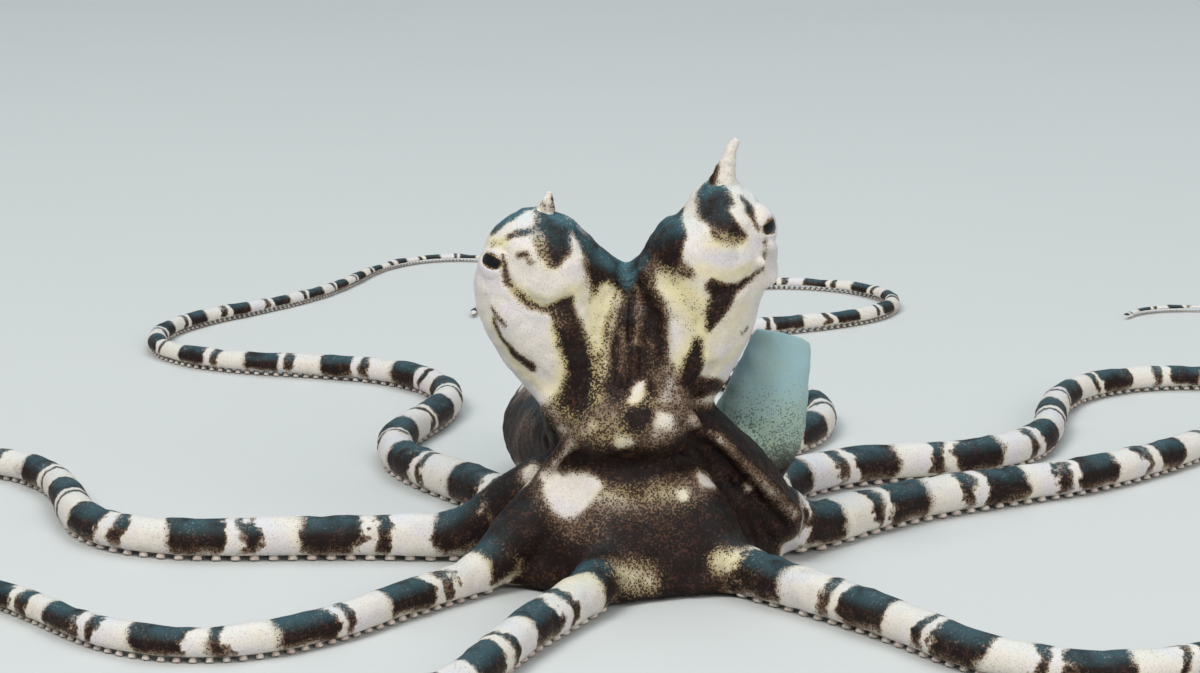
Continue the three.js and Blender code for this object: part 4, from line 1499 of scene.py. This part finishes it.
def eye_finish(name, looks, centre, azimuth, elevation, tilt):
    """A gold and umber iris, streaked out from a black bar, under a wet surface."""
    f = Finish(name)
    gaze, across, above = eye_axes(azimuth, elevation, tilt)
    turned = Matrix([across, above, gaze])
    angles = turned.to_euler("XYZ")
    centred = turned @ Vector(centre) * -MM
    local = f.node(
        "ShaderNodeMapping", {"vector_type": "POINT"},
        {"Vector": f.place(), "Location": centred, "Rotation": angles},
    )
    right = f.node("ShaderNodeSeparateXYZ", {}, {0: local}, output=0)
    high = f.node("ShaderNodeSeparateXYZ", {}, {0: local}, output=1)
    ragged = f.noise(f.place(), 0.5, 3.0) - 0.5
    wide = right.size() / looks.pupil_length
    tall = high.size() / looks.pupil_height
    bar = wide ** PUPIL_SQUARENESS + tall ** PUPIL_SQUARENESS + 0.4 * ragged
    pupil = 1 - bar.between(0.82, 1.12)
    grain = f.noise(f.place(), 0.16, 3.0)
    stretched = f.node(
        "ShaderNodeVectorMath", {"operation": "MULTIPLY"}, {0: local, 1: STREAK_STRETCH}
    )
    streaks = f.noise(stretched, STREAK_WIDTH)
    gold = (0.5 * grain + 0.5 * streaks).between(0.44, 0.60)
    iris = f.mix(gold, looks.umber, looks.gold)
    iris = f.mix(1 - bar.between(1.0, 1.9), iris, IRIS_EDGE)
    colour = f.mix(pupil, iris, PUPIL_BLACK)
    return f.close(
        Base_Color=colour,
        Roughness=0.16 + 0.14 * grain,
        Coat_Weight=0.3,
        Coat_Roughness=0.08,
        Specular_IOR_Level=0.3,
        Normal=f.bump(grain, 0.2, 0.04),
    )


def sucker_finish():
    """Pale, slightly pink suckers with darker specks."""
    f = Finish("sucker_skin")
    place = f.place()
    mottle = f.noise(place, 1.2, 3.0)
    grain = f.noise(place, 0.25, 2.0)
    colour = f.mix(mottle.between(0.35, 0.65), SUCKER_PINK, SUCKER_PALE)
    colour = f.mix(0.5 * grain.between(0.5, 0.7), colour, SUCKER_DARK)
    return f.close(
        Base_Color=colour,
        Roughness=0.35 + 0.2 * grain,
        Normal=f.bump(grain, 0.3, 0.06),
        **SCATTER,
    )


def floor_finish(looks):
    """A plain pale floor with a faint unevenness."""
    f = Finish("plain_floor")
    place = f.place()
    soft = f.noise(place, 60.0, 2.0)
    tone = tuple(looks.floor_tone)
    darker = tuple(0.96 * value for value in tone)
    return f.close(
        Base_Color=f.mix(soft, tone, darker),
        Roughness=0.7 + 0.1 * soft,
        Specular_IOR_Level=0.3,
    )


# ---------------------------------------------------------------- operators


class OCTOPUS_OT_skin(bpy.types.Operator):
    """Models the one skin over the whole body and its arms, folds it and marks it"""

    bl_idname = "octopus.skin"
    bl_label = "Skin"

    def execute(self, context):
        looks = context.scene.octopus_skin
        body = add_body(looks.voxel)
        graft_arms(body)
        graft_siphon(body)
        refine_front(body)
        apply_modifier(body, "SMOOTH", factor=0.5, iterations=3)
        # How far each point faces up before the folds, for the painted light from above.
        set_attribute(body.data, "up", vertices_of(body.data, "normal")[:, 2])
        for bumps in BUMPS:
            roughen(body, *bumps)
        press_folds(body)
        apply_modifier(body, "SMOOTH", factor=0.5, iterations=1)
        for centre, azimuth, elevation, tilt in EYES.values():
            open_eye(body, centre, azimuth, elevation, tilt)
        rest_on_floor(body)
        face_outwards(body)
        bpy.ops.object.shade_smooth()
        paint_skin(body)
        lay_map(body)
        body.name = "skin"
        body.data.materials.clear()
        body.data.materials.append(skin_finish(looks))
        flesh = [
            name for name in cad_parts
            if name.startswith(("arm_", "head", "eye_stalk", "mantle", "siphon"))
        ]
        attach(body, BODY)
        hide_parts(*flesh)
        return {"FINISHED"}


class OCTOPUS_OT_horns(bpy.types.Operator):
    """Models the fleshy horn over each eye, rough with small warts"""

    bl_idname = "octopus.horns"
    bl_label = "Horns"

    def execute(self, context):
        material = bpy.data.materials["octopus_skin"]
        for name, stations, wart, rough in HORNS:
            horn = add_limb(name + "_skin", limb_rings(stations, HORN_RINGS, FRONT), HORN_SIDES)
            roughen(horn, name + "_warts", wart, rough)
            bpy.ops.object.shade_smooth()
            plain = np.ones(len(horn.data.vertices))
            tone = paint(horn, [("front", HORN_MARKS)], HORN_TONE * plain)
            set_attribute(horn.data, "tone", tone)
            for attribute in ("arm", "band", "below", "siphon", "sheen", "gold"):
                set_attribute(horn.data, attribute, 0 * plain)
            horn.data.materials.append(material)
            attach(horn, BODY)
            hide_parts(name)
        return {"FINISHED"}


class OCTOPUS_OT_eyes(bpy.types.Operator):
    """Models each eyeball, with its cornea standing a little proud"""

    bl_idname = "octopus.eyes"
    bl_label = "Eyes"

    def execute(self, context):
        looks = context.scene.octopus_eyes
        for name, (centre, azimuth, elevation, tilt) in EYES.items():
            bpy.ops.object.select_all(action="DESELECT")
            bpy.ops.mesh.primitive_uv_sphere_add(segments=64, ring_count=48, radius=EYE_RADIUS * MM)
            ball = bpy.context.object
            ball.name = name + "_ball"
            points = vertices_of(ball.data)
            gaze = eye_axes(azimuth, elevation, tilt)[0]
            front = smooth(CORNEA_EDGE, 1.0, unit(points) @ gaze)
            set_vertices(ball.data, points * (1 + CORNEA_RISE * front)[:, None] + np.array(centre))
            bpy.ops.object.shade_smooth()
            ball.data.materials.append(eye_finish(name, looks, centre, azimuth, elevation, tilt))
            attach(ball, BODY)
            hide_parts(name)
        return {"FINISHED"}


def sucker_mesh(spot, way, radius):
    """One sucker's points and faces: a short cup that opens along its way."""
    side = unit(np.cross(way, ACROSS_ANY))
    other = np.cross(way, side)
    points = []
    for wide, high in SUCKER_PROFILE:
        for step in range(SUCKER_SIDES):
            angle = 2 * math.pi * step / SUCKER_SIDES
            rim = side * math.cos(angle) + other * math.sin(angle)
            points.append(spot + radius * (wide * rim + high * way))
    points.append(spot + radius * SUCKER_FLOOR * way)
    rows = len(SUCKER_PROFILE)
    faces = []
    for row in range(rows - 1):
        for step in range(SUCKER_SIDES):
            beside = (step + 1) % SUCKER_SIDES
            low, high = row * SUCKER_SIDES, (row + 1) * SUCKER_SIDES
            faces.append((low + step, low + beside, high + beside, high + step))
    last = (rows - 1) * SUCKER_SIDES
    for step in range(SUCKER_SIDES):
        faces.append((last + step, last + (step + 1) % SUCKER_SIDES, rows * SUCKER_SIDES))
    faces.append(tuple(reversed(range(SUCKER_SIDES))))
    return points, faces


class OCTOPUS_OT_suckers(bpy.types.Operator):
    """Models the two rows of suckers under each arm, as one joined mesh for each side"""

    bl_idname = "octopus.suckers"
    bl_label = "Suckers"

    def execute(self, context):
        looks = context.scene.octopus_suckers
        material = sucker_finish()
        for side in ("left", "right"):
            suckers = self.side_of_suckers(side, looks)
            suckers.data.materials.append(material)
            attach(suckers, BODY)
        return {"FINISHED"}

    def side_of_suckers(self, hand_side, looks):
        """The suckers of the four arms on one side."""
        points, faces = [], []
        for arm in ARMS:
            if not arm.name.startswith(hand_side):
                continue
            along, hand = SUCKER_START, 1
            while along < arm.length - SUCKER_END:
                radius = float(arm.radius(along))
                size = looks.share * min(radius, SUCKER_WIDEST)
                ahead, rings = arm.rings(along - 1, along + 1, 0.5)
                centre, side, lift = rings[len(ahead) // 2]
                angle = hand * looks.spread
                way = unit(unit(side) * math.sin(angle) - unit(lift) * math.cos(angle))
                spot = centre + radius * way * SUCKER_SUNK
                spot[2] = max(spot[2], size * 0.5 + SUCKER_CLEAR)
                down = unit(way - SUCKER_DROOP * UP)
                cup, shell = sucker_mesh(spot, down, size)
                first = len(points)
                points.extend(cup)
                faces.extend(tuple(first + i for i in face) for face in shell)
                along += SUCKER_PITCH * size
                hand = -hand
        mesh = bpy.data.meshes.new("suckers_" + hand_side)
        mesh.from_pydata([tuple(point * MM) for point in points], [], faces)
        suckers = add_object(mesh.name, mesh)
        places = vertices_of(mesh)
        places[:, 2] = np.maximum(places[:, 2], SUCKER_LOWEST)
        set_vertices(mesh, places)
        face_outwards(suckers)
        bpy.ops.object.shade_smooth()
        return suckers


def add_light(name, spot, size, power, tint):
    """A square soft light that points at the octopus."""
    light = bpy.data.lights.new(name, "AREA")
    light.shape = "SQUARE"
    light.size = size
    light.energy = power
    light.color = tint
    item = add_object(name, light)
    item.location = spot
    aim = Vector(LIGHTS_AIM) - Vector(spot)
    item.rotation_euler = aim.to_track_quat("-Z", "Y").to_euler()


class OCTOPUS_OT_stage(bpy.types.Operator):
    """Lays the plain floor and sets up the lights and the camera"""

    bl_idname = "octopus.stage"
    bl_label = "Stage"

    def execute(self, context):
        looks = context.scene.octopus_stage
        bpy.ops.object.select_all(action="DESELECT")
        bpy.ops.mesh.primitive_plane_add(size=looks.floor_size, location=(0, 0, 0))
        floor = bpy.context.object
        floor.name = "floor"
        floor.data.materials.append(floor_finish(looks))

        for name, spot, size, power, tint in LIGHTS:
            add_light(name, spot, size, power, tint)
        world = bpy.data.worlds.new("soft_room")
        world.use_nodes = True
        background = world.node_tree.nodes["Background"]
        background.inputs["Color"].default_value = WORLD_TINT
        background.inputs["Strength"].default_value = looks.world_light
        context.scene.world = world
        context.scene.view_settings.view_transform = "Standard"

        camera = bpy.data.cameras.new("camera")
        camera.lens = LENS
        camera.sensor_width = SENSOR_WIDTH
        camera.clip_start = 0.01
        item = add_object("camera", camera)
        item.location = Vector(VIEW_POINT * MM)
        item.rotation_euler = (math.radians(90) - VIEW_ELEVATION, 0, 0)
        context.scene.camera = item
        return {"FINISHED"}


class OCTOPUS_PT_parts(bpy.types.Panel):
    """The octopus's pieces, in the order they are made"""

    bl_label = "Octopus"
    bl_idname = "OCTOPUS_PT_parts"
    bl_space_type = "VIEW_3D"
    bl_region_type = "UI"
    bl_category = "Octopus"

    def draw(self, context):
        for settings, steps in (
            ("octopus_skin", ("octopus.skin", "octopus.horns")),
            ("octopus_eyes", ("octopus.eyes",)),
            ("octopus_suckers", ("octopus.suckers",)),
            ("octopus_stage", ("octopus.stage",)),
        ):
            box = self.layout.box()
            group = getattr(context.scene, settings)
            for name in group.__annotations__:
                box.prop(group, name)
            for step in steps:
                box.operator(step)


SETTINGS = {
    "octopus_skin": SkinSettings,
    "octopus_eyes": EyeSettings,
    "octopus_suckers": SuckerSettings,
    "octopus_stage": StageSettings,
}
OPERATORS = (
    OCTOPUS_OT_skin, OCTOPUS_OT_horns, OCTOPUS_OT_eyes, OCTOPUS_OT_suckers, OCTOPUS_OT_stage,
)


def register():
    """Adds the settings, the operators and the panel to Blender."""
    for kind in (*SETTINGS.values(), *OPERATORS, OCTOPUS_PT_parts):
        bpy.utils.register_class(kind)
    for name, kind in SETTINGS.items():
        setattr(bpy.types.Scene, name, bpy.props.PointerProperty(type=kind))


def unregister():
    """Takes them out again."""
    for name in SETTINGS:
        delattr(bpy.types.Scene, name)
    for kind in reversed((*SETTINGS.values(), *OPERATORS, OCTOPUS_PT_parts)):
        bpy.utils.unregister_class(kind)


def plain(box):
    """A box as plain lists of numbers."""
    return [[float(value) for value in corner] for corner in box]


def main():
    """Makes every piece in order."""
    register()
    for kind in OPERATORS:
        group, name = kind.bl_idname.split(".")
        getattr(getattr(bpy.ops, group), name)()


if __name__ == "__main__":
    main()
